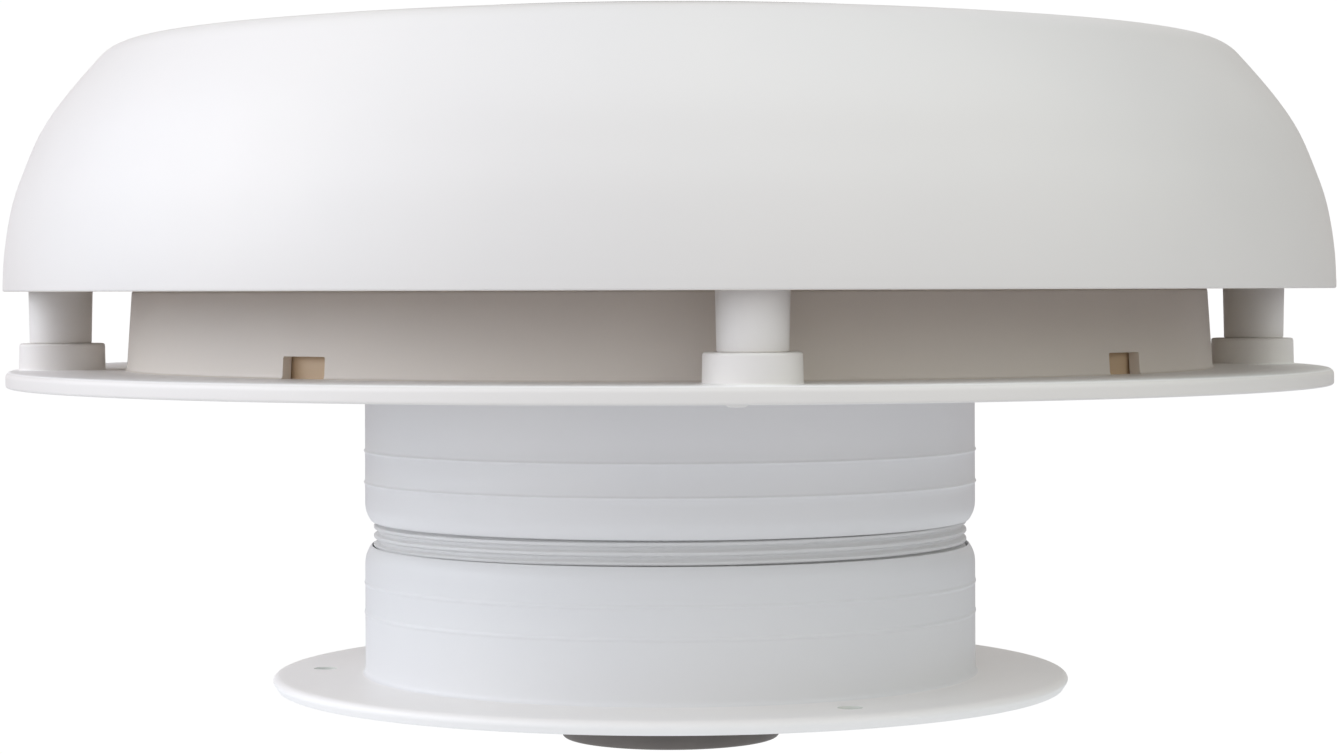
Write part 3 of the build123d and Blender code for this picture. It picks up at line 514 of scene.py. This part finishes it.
def pad_data(angle):
    """A screw pad inside the hood wall: flat and rounded below, its top buried in the wall."""
    prof = [(0.0, 24.5), (1.7, 24.5), (5.6, 24.5), (6.1, 24.62), (6.33, 24.9), (6.4, 25.3)]
    n = 40
    cx, cy = 100.1 * math.cos(angle), 100.1 * math.sin(angle)
    vs, fs = [], []
    rings = prof[2:]
    for r, z in rings:
        for k in range(n):
            t = 2 * math.pi * k / n
            vs.append((cx + r * math.cos(t), cy + r * math.sin(t), z))
    for k in range(n):
        t = 2 * math.pi * k / n
        x, y = cx + 6.4 * math.cos(t), cy + 6.4 * math.sin(t)
        vs.append((x, y, max(26.0, min(51.0, mid_wall_z(math.hypot(x, y))))))
    m = len(rings) + 1
    for j in range(m - 1):
        for k in range(n):
            fs.append((j * n + k, j * n + (k + 1) % n, (j + 1) * n + (k + 1) % n, (j + 1) * n + k))
    top, low = len(vs), len(vs) + 1
    vs += [(cx, cy, mid_wall_z(100.1)), (cx, cy, 24.5)]
    for k in range(n):
        fs.append(((m - 1) * n + k, (m - 1) * n + (k + 1) % n, top))
        fs.append(((k + 1) % n, k, low))
    return np.array(vs), fs


pads = make("hood_pads", merge(*[pad_data(math.pi / 2 * k) for k in range(4)]))
webs = make("hood_webs", merge(*[box_data((25.0, -0.9, 49.5), (87.0, 0.9, 52.9), 0.35, math.radians(22.5 + 45 * k)) for k in range(8)]))
pad_ring = make("hood_pad_ring", lathe_data(soft([(17.0, 52.6), (17.0, 49.0, 0.3), (26.0, 49.0, 0.4), (26.0, 52.6)]), 96))
pilots = make("hood_pilot_tool", merge(
    *[lathe_data([(0.0, 24.0), (1.95, 24.0), (1.95, 24.5), (1.7, 24.75), (1.7, 34.0), (0.0, 34.0)], 32,
                 (100.1 * math.cos(math.pi / 2 * k), 100.1 * math.sin(math.pi / 2 * k)), closed=False) for k in range(4)]))
hood_ob = boolean(hood_ob, ("UNION", pads), ("UNION", webs), ("UNION", pad_ring), ("DIFFERENCE", pilots))
weld(hood_ob)
piece(hood_ob, "vent_body", "white_hood", M_HOOD, "hood_shell", angle=30)
# painted warm shade: everything under the shell gets a warmer, creamier copy of the hood plastic, standing in for the
# warm light bounced round the shaded underside
hood_ob.data.materials.append(M_UNDER_WARM_SHADE)
skin_z = np.array([p[1] for p in outer if p[1] < 56.0] + [60.0])
skin_r = np.array([p[0] for p in outer if p[1] < 56.0] + [60.0])
for face in hood_ob.data.polygons:
    r, z = math.hypot(face.center[0], face.center[1]) / MM, face.center[2] / MM
    on_skin = z > 54.9 or (z > 15.45 and r > float(np.interp(z, skin_z, skin_r)) - 0.9)
    face.material_index = 0 if on_skin else 1

# posts: slight draft, wider at the top
post_prof = soft([(1.7, 6.95, 0.2), (4.98, 6.95, 0.28), (5.35, 24.5, 0.25), (1.7, 24.5, 0.2)])
posts = make("hood_posts_fine", merge(*[lathe_data(post_prof, 72, (100.1 * math.cos(math.pi / 2 * k), 100.1 * math.sin(math.pi / 2 * k)))
                                        for k in range(4)]))
piece(posts, "vent_body", "white_hood", M_HOOD, "hood_posts")

# ------------------------------------------------------------------ deck ring
plate = soft([(51.4, 2.6, 0.1), (108.6, 2.6, 0.95), (108.6, 0.0, 0.4), (51.4, 0.0, 0.1)])
deck = make("deck_plate", lathe_data(plate, 360))
boss_prof = soft([(0.0, 1.6), (7.5, 1.6), (7.5, 2.585), (6.97, 2.62, 0.5), (6.88, 6.95, 0.42), (0.0, 6.95)], closed=False)
pip_prof = soft([(0.0, 0.6), (1.6, 0.6), (1.6, -1.2, 0.55), (0.0, -1.2)], closed=False)
adds = []
for k in range(4):
    a = math.pi / 2 * k
    adds.append(lathe_data(boss_prof, 80, (99.85 * math.cos(a), 99.85 * math.sin(a)), closed=False))
    adds.append(lathe_data(pip_prof, 40, (83.6 * math.cos(a), 83.6 * math.sin(a)), closed=False))
WINDOWS = (-133.0, -47.0, 47.0, 133.0)


def arc_wall(angle, half, r_in, r_out, z0, z1, edge=0.3, n=28):
    """A short curved wall with softened top and ends."""
    vs, fs = [], []
    prof = [(r_in, z0), (r_in, z1 - edge), (r_in + 0.3 * edge, z1 - 0.3 * edge), (r_in + edge, z1), (r_out - edge, z1),
            (r_out - 0.3 * edge, z1 - 0.3 * edge), (r_out, z1 - edge), (r_out, z0)]
    m = len(prof)
    for k in range(n + 1):
        t = math.radians(angle - half + 2 * half * k / n)
        vs += [(r * math.cos(t), r * math.sin(t), z) for r, z in prof]
    for k in range(n):
        for j in range(m):
            j2 = (j + 1) % m
            fs.append((k * m + j, (k + 1) * m + j, (k + 1) * m + j2, k * m + j2))
    fs.append(tuple(range(m)))
    fs.append(tuple(n * m + j for j in range(m))[::-1])
    return np.array(vs), fs


baffles = make("splash_baffles", merge(*[arc_wall(w, 11.5, 85.7, 87.1, 2.5, 7.8) for w in WINDOWS]))
# the baffles take the beige painted-shade colour instead of the deck's white
piece(baffles, "vent_body", "white_deck", M_BAFFLE_WARM_SHADE)
screw_cut = [(0.0, -0.5), (3.85, -0.5), (3.85, 0.0), (3.6, 0.12), (1.75, 2.1), (1.75, 8.0), (0.0, 8.0)]
cuts = [lathe_data(screw_cut, 48, (100.1 * math.cos(math.pi / 2 * k), 100.1 * math.sin(math.pi / 2 * k)), closed=False) for k in range(4)]
deck = boolean(deck, ("UNION", make("deck_adds", merge(*adds))), ("DIFFERENCE", make("deck_cuts", merge(*cuts))))
piece(deck, "vent_body", "white_deck", M_DECK, "deck_flange", weighted=True)
# painted light: the upward faces of the plate's top get the brighter copy, as if more light reached them under the hood
deck.data.materials.append(M_TOP_PAINTED_LIGHT)
for face in deck.data.polygons:
    if 2.3 * MM < face.center[2] < 2.7 * MM and face.normal[2] > 0.75:
        face.material_index = 1

collar_prof = soft([(87.55, 2.5), (86.7, 15.55, 0.4), (88.5, 15.55, 0.6), (89.30, 3.1, 0.0), (89.40, 2.8, 0.0), (89.65, 2.6, 0.0), (89.65, 2.5, 0.0)], longest=2.0)
rain = make("rain_wall", lathe_data(collar_prof, 360))


def window_tool(angle):
    """Opening 8.2 wide and 3.3 high with small corner radii, cut through the foot of the rain wall."""
    w, top, r = 4.1, 5.9, 0.3
    out = [(-w, 1.6), (w, 1.6)]
    for k in range(7):
        t = math.pi / 2 * k / 6
        out.append((w - r + r * math.cos(t), top - r + r * math.sin(t)))
    for k in range(7):
        t = math.pi / 2 + math.pi / 2 * k / 6
        out.append((-w + r + r * math.cos(t), top - r + r * math.sin(t)))
    n = len(out)
    ca, sa = math.cos(angle), math.sin(angle)
    vs = [(x * ca - y * sa, x * sa + y * ca, z) for x in (83.0, 93.0) for y, z in out]
    fs = [(i, (i + 1) % n, n + (i + 1) % n, n + i) for i in range(n)] + [tuple(range(n)), tuple(range(n, 2 * n))]
    return np.array(vs), fs


rain = boolean(rain, ("DIFFERENCE", make("window_tools", merge(*[window_tool(math.radians(w)) for w in WINDOWS]))))
# the rain wall takes the warm painted-shade copy of the deck plastic
piece(rain, "vent_body", "white_deck", M_RAIN_WARM_SHADE, "rain_collar", weighted=True)


def bead(r, z, h=0.2, half=0.34, n=7, down=True):
    """A fine rounded bead on a wall of radius r."""
    pts = [(r + h * math.cos(math.pi / 2 * t) ** 1.4 if abs(t) < 1 else r, z - half * t) for t in np.linspace(-1, 1, 2 * n + 1)]
    return pts if down else pts[::-1]


neck = [(46.4, 0.0), (46.4, 11.2), (46.9, 12.0), (47.9, 12.0), (48.6, 11.3), (48.6, 2.8), (48.8, 2.6), (51.3, 2.6), (51.4, 2.5),
        (51.4, 0.1), (51.3, 0.0), (50.75, 0.0), (50.65, -0.15), (50.65, -0.5), (50.65, -4.0), (50.65, -8.0)]
neck += bead(50.65, -11.0) + [(50.65, -13.5)] + bead(50.65, -16.2) + [(50.65, -17.6), (50.65, -18.8), (50.65, -19.6)]
neck += [(50.62, -20.1), (50.55, -20.6), (50.42, -21.1), (50.22, -21.6), (49.98, -22.05), (49.82, -22.35), (49.68, -22.52), (49.55, -22.6),
         (49.42, -22.6), (49.35, -22.5), (49.35, -0.2), (49.35, 0.0)]
neck_ob = make("upper_collar", lathe_data(neck, 320))
piece(neck_ob, "vent_body", "white_deck", M_NECK, "duct_neck", angle=40)


# ------------------------------------------------------------------ sleeve with its helical thread
def thread_wall():
    """The threaded outside as a height field on straight columns, so that both ends are true circles."""
    pitch, crest, root = 1.5, 49.22, 48.47
    lo, hi = -41.0, -20.4
    seg = 300
    crest_at = math.radians(-96.5)
    zs = np.arange(hi, lo - 1e-6, -pitch / 11.0)
    zs = np.append(zs, lo)
    th = np.linspace(0, 2 * math.pi, seg, endpoint=False)
    Z, T = np.meshgrid(zs, th)
    ph = (Z + 23.2) / pitch - (T - crest_at) / (2 * math.pi)
    ph = np.abs((ph + 0.5) % 1.0 - 0.5)
    t = np.clip((ph - 0.13) / (0.37 - 0.13), 0, 1)
    t = t * t * (3 - 2 * t)
    fade = np.clip(np.minimum((hi - Z) / 1.2, (Z - lo) / 0.9), 0, 1)
    R = crest + (root - crest) * t * fade
    return zs, th, R


def sleeve_data():
    zs, th, R = thread_wall()
    top = [(46.4, -1.0), (46.4, -0.3), (46.6, -0.1), (49.0, -0.1), (49.2, -0.3), (49.22, -1.0), (49.22, -6.0), (49.22, -12.0), (49.22, -18.0)]
    end = [(49.22, -41.1), (49.1, -41.3), (48.8, -41.45), (48.6, -41.5), (46.7, -41.5), (46.4, -41.2), (46.4, -38.0), (46.4, -30.0), (46.4, -23.0),
           (46.4, -15.0), (46.4, -8.0)]
    nv = len(top) + len(zs) + len(end)
    vs = []
    for i, t in enumerate(th):
        c, s = math.cos(t), math.sin(t)
        vs += [(r * c, r * s, z) for r, z in top]
        vs += [(R[i, j] * c, R[i, j] * s, zs[j]) for j in range(len(zs))]
        vs += [(r * c, r * s, z) for r, z in end]
    return np.array(vs), grid_faces(len(th), nv)


sleeve = make("sleeve_threaded", sleeve_data())
slots = make("key_slots", merge(*[box_data((44.0, -3.1, -43.0), (47.5, 3.1, -23.0), 0.25, math.pi * k) for k in range(2)]))
sleeve = boolean(sleeve, ("DIFFERENCE", slots))
piece(sleeve, "vent_body", "white_sleeve", M_SLEEVE, "threaded_sleeve", angle=50)

# ------------------------------------------------------------------ trim ring
trim = [(49.45, -46.8), (49.45, -26.75), (49.5, -26.65), (49.58, -26.6), (49.7, -26.7), (49.85, -26.9), (50.02, -27.2), (50.24, -27.65), (50.42, -28.1),
        (50.55, -28.6), (50.62, -29.1), (50.65, -29.6), (50.65, -30.3), (50.65, -31.3)]
trim += bead(50.65, -32.7, h=0.13, half=0.42) + [(50.65, -35.2)] + bead(50.65, -37.6, h=0.13, half=0.42)
trim += [(50.65, -38.6), (50.65, -41.0), (50.65, -44.0), (50.65, -46.3)]
foot = soft([(50.65, -46.3), (50.65, -47.8, 1.3), (64.4, -47.8), (64.75, -47.82), (65.05, -47.88), (65.32, -48.0), (65.54, -48.17), (65.70, -48.38),
             (65.79, -48.62), (65.78, -48.86), (65.68, -49.08), (65.05, -50.02), (64.9, -50.09), (64.7, -50.1), (48.4, -50.1, 0.2), (48.4, -49.1, 0.1),
             (45.6, -49.1, 0.2), (45.6, -46.8, 0.2), (49.45, -46.8)], closed=False, longest=3.0)[1:-1]
trim += foot
trim_ob = make("trim_flange", lathe_data(trim, 320))
hole_cut = [(0.0, -52.0), (2.0, -52.0), (2.0, -50.12), (1.75, -49.85), (1.75, -48.05), (1.98, -47.78), (1.98, -46.5), (0.0, -46.5)]
holes = make("trim_holes", merge(*[lathe_data(hole_cut, 48, (57.8 * math.cos(math.radians(51.5 + 120 * k)), 57.8 * math.sin(math.radians(51.5 + 120 * k))),
                                              closed=False) for k in range(3)]))
trim_ob = boolean(trim_ob, ("DIFFERENCE", holes))
piece(trim_ob, "trim", "white_trim", M_TRIM, "trim_ring", angle=40, weighted=True)
# painted light: the flange (every face below the wall's foot) gets a lighter copy of the trim plastic than the wall
# above, as if lit more strongly
trim_ob.data.materials.append(M_FOOT_PAINTED_LIGHT)
# painted shade: the walls of the three screw holes get the darker copy, standing in for the shade inside them
trim_ob.data.materials.append(M_BORE_PAINTED_SHADE)
for face in trim_ob.data.polygons:
    if face.center[2] < -47.74 * MM:
        face.material_index = 1
        if any(math.hypot(face.center[0] / MM - 57.8 * math.cos(math.radians(51.5 + 120 * k)),
                          face.center[1] / MM - 57.8 * math.sin(math.radians(51.5 + 120 * k))) < 2.05 for k in range(3)) and abs(face.normal[2]) < 0.9:
            face.material_index = 2

# ------------------------------------------------------------------ knob
knob_prof = soft([(0.0, -51.3), (17.45, -51.3, 0.35), (18.2, -57.7, 3.0), (18.0, -58.9, 0.95), (0.0, -58.9)], closed=False, longest=2.0)
knob_ob = make("knob_body", lathe_data(knob_prof, 192, closed=False))


def finger_well(sign):
    """One finger well: a segment of a circle beside the grip bar, with a rounded floor and rim."""
    r, y0, rc = 15.2, 4.2, 1.6
    base = []
    a0 = math.asin((y0 + rc) / (r - rc))
    for k in range(49):
        t = a0 + (math.pi - 2 * a0) * k / 48
        base.append((r * math.cos(t), r * math.sin(t)))
    cx, cy = -(r - rc) * math.cos(a0), y0 + rc
    for k in range(1, 12):
        t = (math.pi - a0) + (math.pi / 2 + a0) * k / 12
        base.append((cx + rc * math.cos(t), cy + rc * math.sin(t)))
    for k in range(12):
        t = 1.5 * math.pi + (math.pi / 2 + a0) * k / 12
        base.append((-cx + rc * math.cos(t), cy + rc * math.sin(t)))
    b = np.array(base)
    nrm = np.roll(b, -1, 0) - np.roll(b, 1, 0)
    nrm = np.stack([nrm[:, 1], -nrm[:, 0]], 1) / np.linalg.norm(nrm, axis=1)[:, None]
    loops = [(0.45, -59.4), (0.45, -58.9), (0.24, -58.84), (0.08, -58.68), (0.0, -58.45), (0.0, -55.4)]
    loops += [(-1.1 * (1 - math.cos(math.pi / 2 * j / 5)), -55.4 + 1.1 * math.sin(math.pi / 2 * j / 5)) for j in range(1, 6)]
    vs, n = [], len(b)
    for off, z in loops:
        p = (b + nrm * off) * np.array([1.0, sign])
        vs += [(x, y, z) for x, y in p]
    fs = []
    for j in range(len(loops) - 1):
        for i in range(n):
            fs.append((j * n + i, j * n + (i + 1) % n, (j + 1) * n + (i + 1) % n, (j + 1) * n + i))
    fs.append(tuple(range(n))[::-1])
    fs.append(tuple((len(loops) - 1) * n + i for i in range(n)))
    return np.array(vs), fs


knob_cuts = make("knob_cuts", merge(finger_well(1.0), finger_well(-1.0),
                                    lathe_data([(0.0, -57.05), (4.03, -57.05), (4.03, -51.0), (0.0, -51.0)], 64, closed=False)))
knob_hole = make("knob_hole", lathe_data([(0.0, -59.4), (3.5, -59.4), (3.3, -58.95), (3.1, -58.8), (1.6, -57.3), (1.6, -56.5), (0.0, -56.5)], 64, closed=False))
knob_ob = boolean(knob_ob, ("DIFFERENCE", knob_cuts), ("DIFFERENCE", knob_hole))
piece(knob_ob, "control", "dark_knob", M_KNOB, "knob", angle=40, weighted=True)

# ------------------------------------------------------------------ ribbons that join the cell strips
ribbons = []
for i in range(7):
    for y in (-22.0, 22.0):
        x = -36.0 + 12.0 * i
        if math.hypot(abs(x) + 7.0, y) < 58.0:
            ribbons.append(box_data((x - 5.0, y - 0.8, 56.10), (x + 5.0, y + 0.8, 56.17), 0.02))
rib_ob = make("cell_ribbons", merge(*ribbons))
piece(rib_ob, "vent_body", "stainless", M_RIBBON)


# ------------------------------------------------------------------ woven insect screen
def woven(r_out=43.6, pitch=2.4, wire=0.17, z=-10.7):
    vs, fs = [], []
    n_side, step = 6, pitch / 4
    count = int(r_out // pitch)
    for axis in (0, 1):
        for k in range(-count, count + 1):
            c = k * pitch
            half = math.sqrt(max(r_out ** 2 - c * c, 0.0))
            if half < 3:
                continue
            m = int(2 * half / step) + 1
            off = len(vs)
            for i in range(m + 1):
                u = -half + 2 * half * i / m
                w = wire * 1.05 * math.cos(math.pi * u / pitch) * (1 if (k + axis) % 2 == 0 else -1)
                for j in range(n_side):
                    t = 2 * math.pi * j / n_side
                    a, b = c + wire * math.cos(t), z + w + wire * math.sin(t)
                    vs.append((u, a, b) if axis == 0 else (a, u, b))
            for i in range(m):
                for j in range(n_side):
                    j2 = (j + 1) % n_side
                    fs.append((off + i * n_side + j, off + i * n_side + j2, off + (i + 1) * n_side + j2, off + (i + 1) * n_side + j))
            fs.append(tuple(off + j for j in range(n_side))[::-1])
            fs.append(tuple(off + m * n_side + j for j in range(n_side)))
    return np.array(vs), fs


screen = make("screen_woven", merge(woven(), lathe_data(soft([(43.4, -11.15), (44.6, -11.15, 0.1), (44.6, -10.25, 0.3), (43.4, -10.25, 0.3)]), 128)))
piece(screen, "vent_body", "stainless", M_STEEL, "insect_screen", angle=60)

# ------------------------------------------------------------------ softened edges on the other mouldings
for name, width in (("grille_guard", 0.30), ("grille_seat", 0.25), ("damper_disc", 0.25), ("motor_pod", 0.30), ("screen_ring", 0.15),
                    ("damper_seal", 0.20), ("lead_grommet", 0.12), ("motor_end_cap", 0.20), ("spindle_clips", 0.08), ("guide_pins", 0.15)):
    ob = nodes[name]
    wd = ob.modifiers.new("weld", "WELD")
    wd.merge_threshold = 0.000002
    bv = ob.modifiers.new("bevel", "BEVEL")
    bv.width, bv.segments, bv.limit_method, bv.angle_limit = width * MM, 2, "ANGLE", math.radians(40)
    bv.use_clamp_overlap = True
    bv.harden_normals = False
    wn_mod = ob.modifiers.new("normals", "WEIGHTED_NORMAL")
    wn_mod.mode, wn_mod.keep_sharp = "FACE_AREA", True

# ------------------------------------------------------------------ stage, light and camera
# The studio: soft patches of light round the object. Each has a direction (bearing from +X and elevation, degrees), a half-width
# where it starts and one where it is full, and its linear red, green and blue.
SKY = {"low_left": (180, 8, 58, 15, (0.831, 0.975, 1.058)),
       "low_left_front": (225, 8, 58, 15, (0.723, 0.706, 0.734)),
       "low_right_front": (315, 8, 58, 15, (0.007, 0.000, 0.000)),
       "low_back": (90, 8, 75, 20, (0.499, 0.457, 0.437)),
       "mid_left": (180, 42, 55, 15, (0.868, 0.810, 0.926)),
       "mid_right_front": (315, 42, 55, 15, (1.315, 1.372, 1.312)),
       "mid_right": (0, 42, 55, 15, (0.093, 0.102, 0.116)),
       "band_left": (180, 24, 32, 8, (1.040, 1.051, 1.031)),
       "band_right_front": (315, 24, 32, 8, (0.026, 0.000, 0.000)),
       "top": (270, 78, 45, 15, (0.034, 0.086, 0.123))}
FLOOR = {"floor_near": (0.567, 0.594, 0.617), "floor_far": (0.040, 0.000, 0.000)}


def link_math(nt, op, a, b=None, c=None):
    n = nt.nodes.new("ShaderNodeMath")
    n.operation = op
    for k, v in enumerate((a, b, c)):
        if v is None:
            continue
        if isinstance(v, (int, float)):
            n.inputs[k].default_value = v
        else:
            nt.links.new(v, n.inputs[k])
    return n.outputs[0]


def smooth(nt, sock, lo, hi):
    r = nt.nodes.new("ShaderNodeMapRange")
    r.interpolation_type = "SMOOTHSTEP"
    r.inputs["From Min"].default_value, r.inputs["From Max"].default_value = lo, hi
    nt.links.new(sock, r.inputs["Value"])
    return r.outputs["Result"]


white = bpy.data.materials.new("floor_white")
white.use_nodes = True
ft = white.node_tree
ft.nodes.clear()
f_out, f_mix, f_add, f_path = (ft.nodes.new(k) for k in ("ShaderNodeOutputMaterial", "ShaderNodeMixShader", "ShaderNodeAddShader", "ShaderNodeLightPath"))
f_dif, f_near, f_far, f_cam, f_add2 = (ft.nodes.new(k) for k in ("ShaderNodeBsdfDiffuse", "ShaderNodeEmission", "ShaderNodeEmission", "ShaderNodeEmission",
                                                                 "ShaderNodeAddShader"))
f_dif.inputs["Color"].default_value = (0.30, 0.30, 0.31, 1)
f_near.name, f_far.name = "floor_near", "floor_far"
f_near.inputs["Color"].default_value = (*FLOOR["floor_near"], 1)
f_far.inputs["Color"].default_value = (*FLOOR["floor_far"], 1)
f_cam.inputs["Color"].default_value = (1, 1, 1, 1)
f_cam.inputs["Strength"].default_value = 1.02
f_tc, f_len = ft.nodes.new("ShaderNodeTexCoord"), ft.nodes.new("ShaderNodeVectorMath")
f_len.operation = "LENGTH"
ft.links.new(f_tc.outputs["Object"], f_len.inputs[0])
far = smooth(ft, f_len.outputs["Value"], 0.12, 0.45)
ft.links.new(far, f_far.inputs["Strength"])
ft.links.new(link_math(ft, "SUBTRACT", 1.0, far), f_near.inputs["Strength"])
ft.links.new(f_near.outputs[0], f_add.inputs[0])
ft.links.new(f_far.outputs[0], f_add.inputs[1])
ft.links.new(f_add.outputs[0], f_add2.inputs[0])
ft.links.new(f_dif.outputs[0], f_add2.inputs[1])
ft.links.new(f_path.outputs["Is Camera Ray"], f_mix.inputs["Fac"])
ft.links.new(f_add2.outputs[0], f_mix.inputs[1])
ft.links.new(f_cam.outputs[0], f_mix.inputs[2])
# seen from below, the floor lets the underside of the vent show
f_geo, f_clear, f_side = (ft.nodes.new(k) for k in ("ShaderNodeNewGeometry", "ShaderNodeBsdfTransparent", "ShaderNodeMixShader"))
ft.links.new(f_geo.outputs["Backfacing"], f_side.inputs["Fac"])
ft.links.new(f_mix.outputs[0], f_side.inputs[1])
ft.links.new(f_clear.outputs[0], f_side.inputs[2])
ft.links.new(f_side.outputs[0], f_out.inputs["Surface"])
bm = bmesh.new()
n = 96
bm.faces.new([bm.verts.new((6.0 * math.cos(2 * math.pi * k / n), 6.0 * math.sin(2 * math.pi * k / n), 0)) for k in range(n)])
fme = bpy.data.meshes.new("floor")
bm.to_mesh(fme)
bm.free()
floor = bpy.data.objects.new("floor", fme)
floor.location = (0, 0, -0.0725)
fme.materials.append(white)
scene.collection.objects.link(floor)

world = bpy.data.worlds.new("studio")
scene.world = world
world.use_nodes = True
wn = world.node_tree
wn.nodes.clear()
wo, w_mix, w_path, w_back, w_tc = (wn.nodes.new(k) for k in ("ShaderNodeOutputWorld", "ShaderNodeMixShader", "ShaderNodeLightPath",
                                                             "ShaderNodeBackground", "ShaderNodeTexCoord"))
total = None
for key, (bearing, elev, start, full, rgb) in SKY.items():
    bg = wn.nodes.new("ShaderNodeBackground")
    bg.name = key
    bg.inputs["Color"].default_value = (*rgb, 1)
    if start < 180:
        dot = wn.nodes.new("ShaderNodeVectorMath")
        dot.operation = "DOT_PRODUCT"
        ab, ae = math.radians(bearing), math.radians(elev)
        dot.inputs[1].default_value = (math.cos(ab) * math.cos(ae), math.sin(ab) * math.cos(ae), math.sin(ae))
        wn.links.new(w_tc.outputs["Generated"], dot.inputs[0])
        wn.links.new(smooth(wn, dot.outputs["Value"], math.cos(math.radians(start)), math.cos(math.radians(full))), bg.inputs["Strength"])
    if total is None:
        total = bg.outputs[0]
    else:
        ad = wn.nodes.new("ShaderNodeAddShader")
        wn.links.new(total, ad.inputs[0])
        wn.links.new(bg.outputs[0], ad.inputs[1])
        total = ad.outputs[0]
w_back.inputs["Color"].default_value = (1, 1, 1, 1)
w_back.inputs["Strength"].default_value = 1.02
wn.links.new(w_path.outputs["Is Camera Ray"], w_mix.inputs["Fac"])
wn.links.new(total, w_mix.inputs[1])
wn.links.new(w_back.outputs[0], w_mix.inputs[2])
wn.links.new(w_mix.outputs[0], wo.inputs["Surface"])

A, D, ZC = math.radians(6.5), 0.5422, 0.0157
cam_d = bpy.data.cameras.new("camera")
cam_d.lens, cam_d.sensor_width = 87.38, 36.0
cam_d.shift_y = -0.0665
cam_d.clip_start, cam_d.clip_end = 0.01, 50.0
cam = bpy.data.objects.new("camera", cam_d)
cam.location = (-math.sin(A) * D, -math.cos(A) * D, ZC)
cam.rotation_mode = "QUATERNION"
cam.rotation_quaternion = Vector((math.sin(A), math.cos(A), 0)).to_track_quat("-Z", "Y") @ Quaternion((0, 0, 1), -0.0028)
scene.collection.objects.link(cam)
scene.camera = cam

scene.view_settings.view_transform = "Standard"
scene.view_settings.look = "None"
scene.view_settings.exposure = 0.0
scene.view_settings.gamma = 1.0
scene.cycles.diffuse_bounces = 8
scene.cycles.max_bounces = 14
scene.cycles.sample_clamp_indirect = 6.0
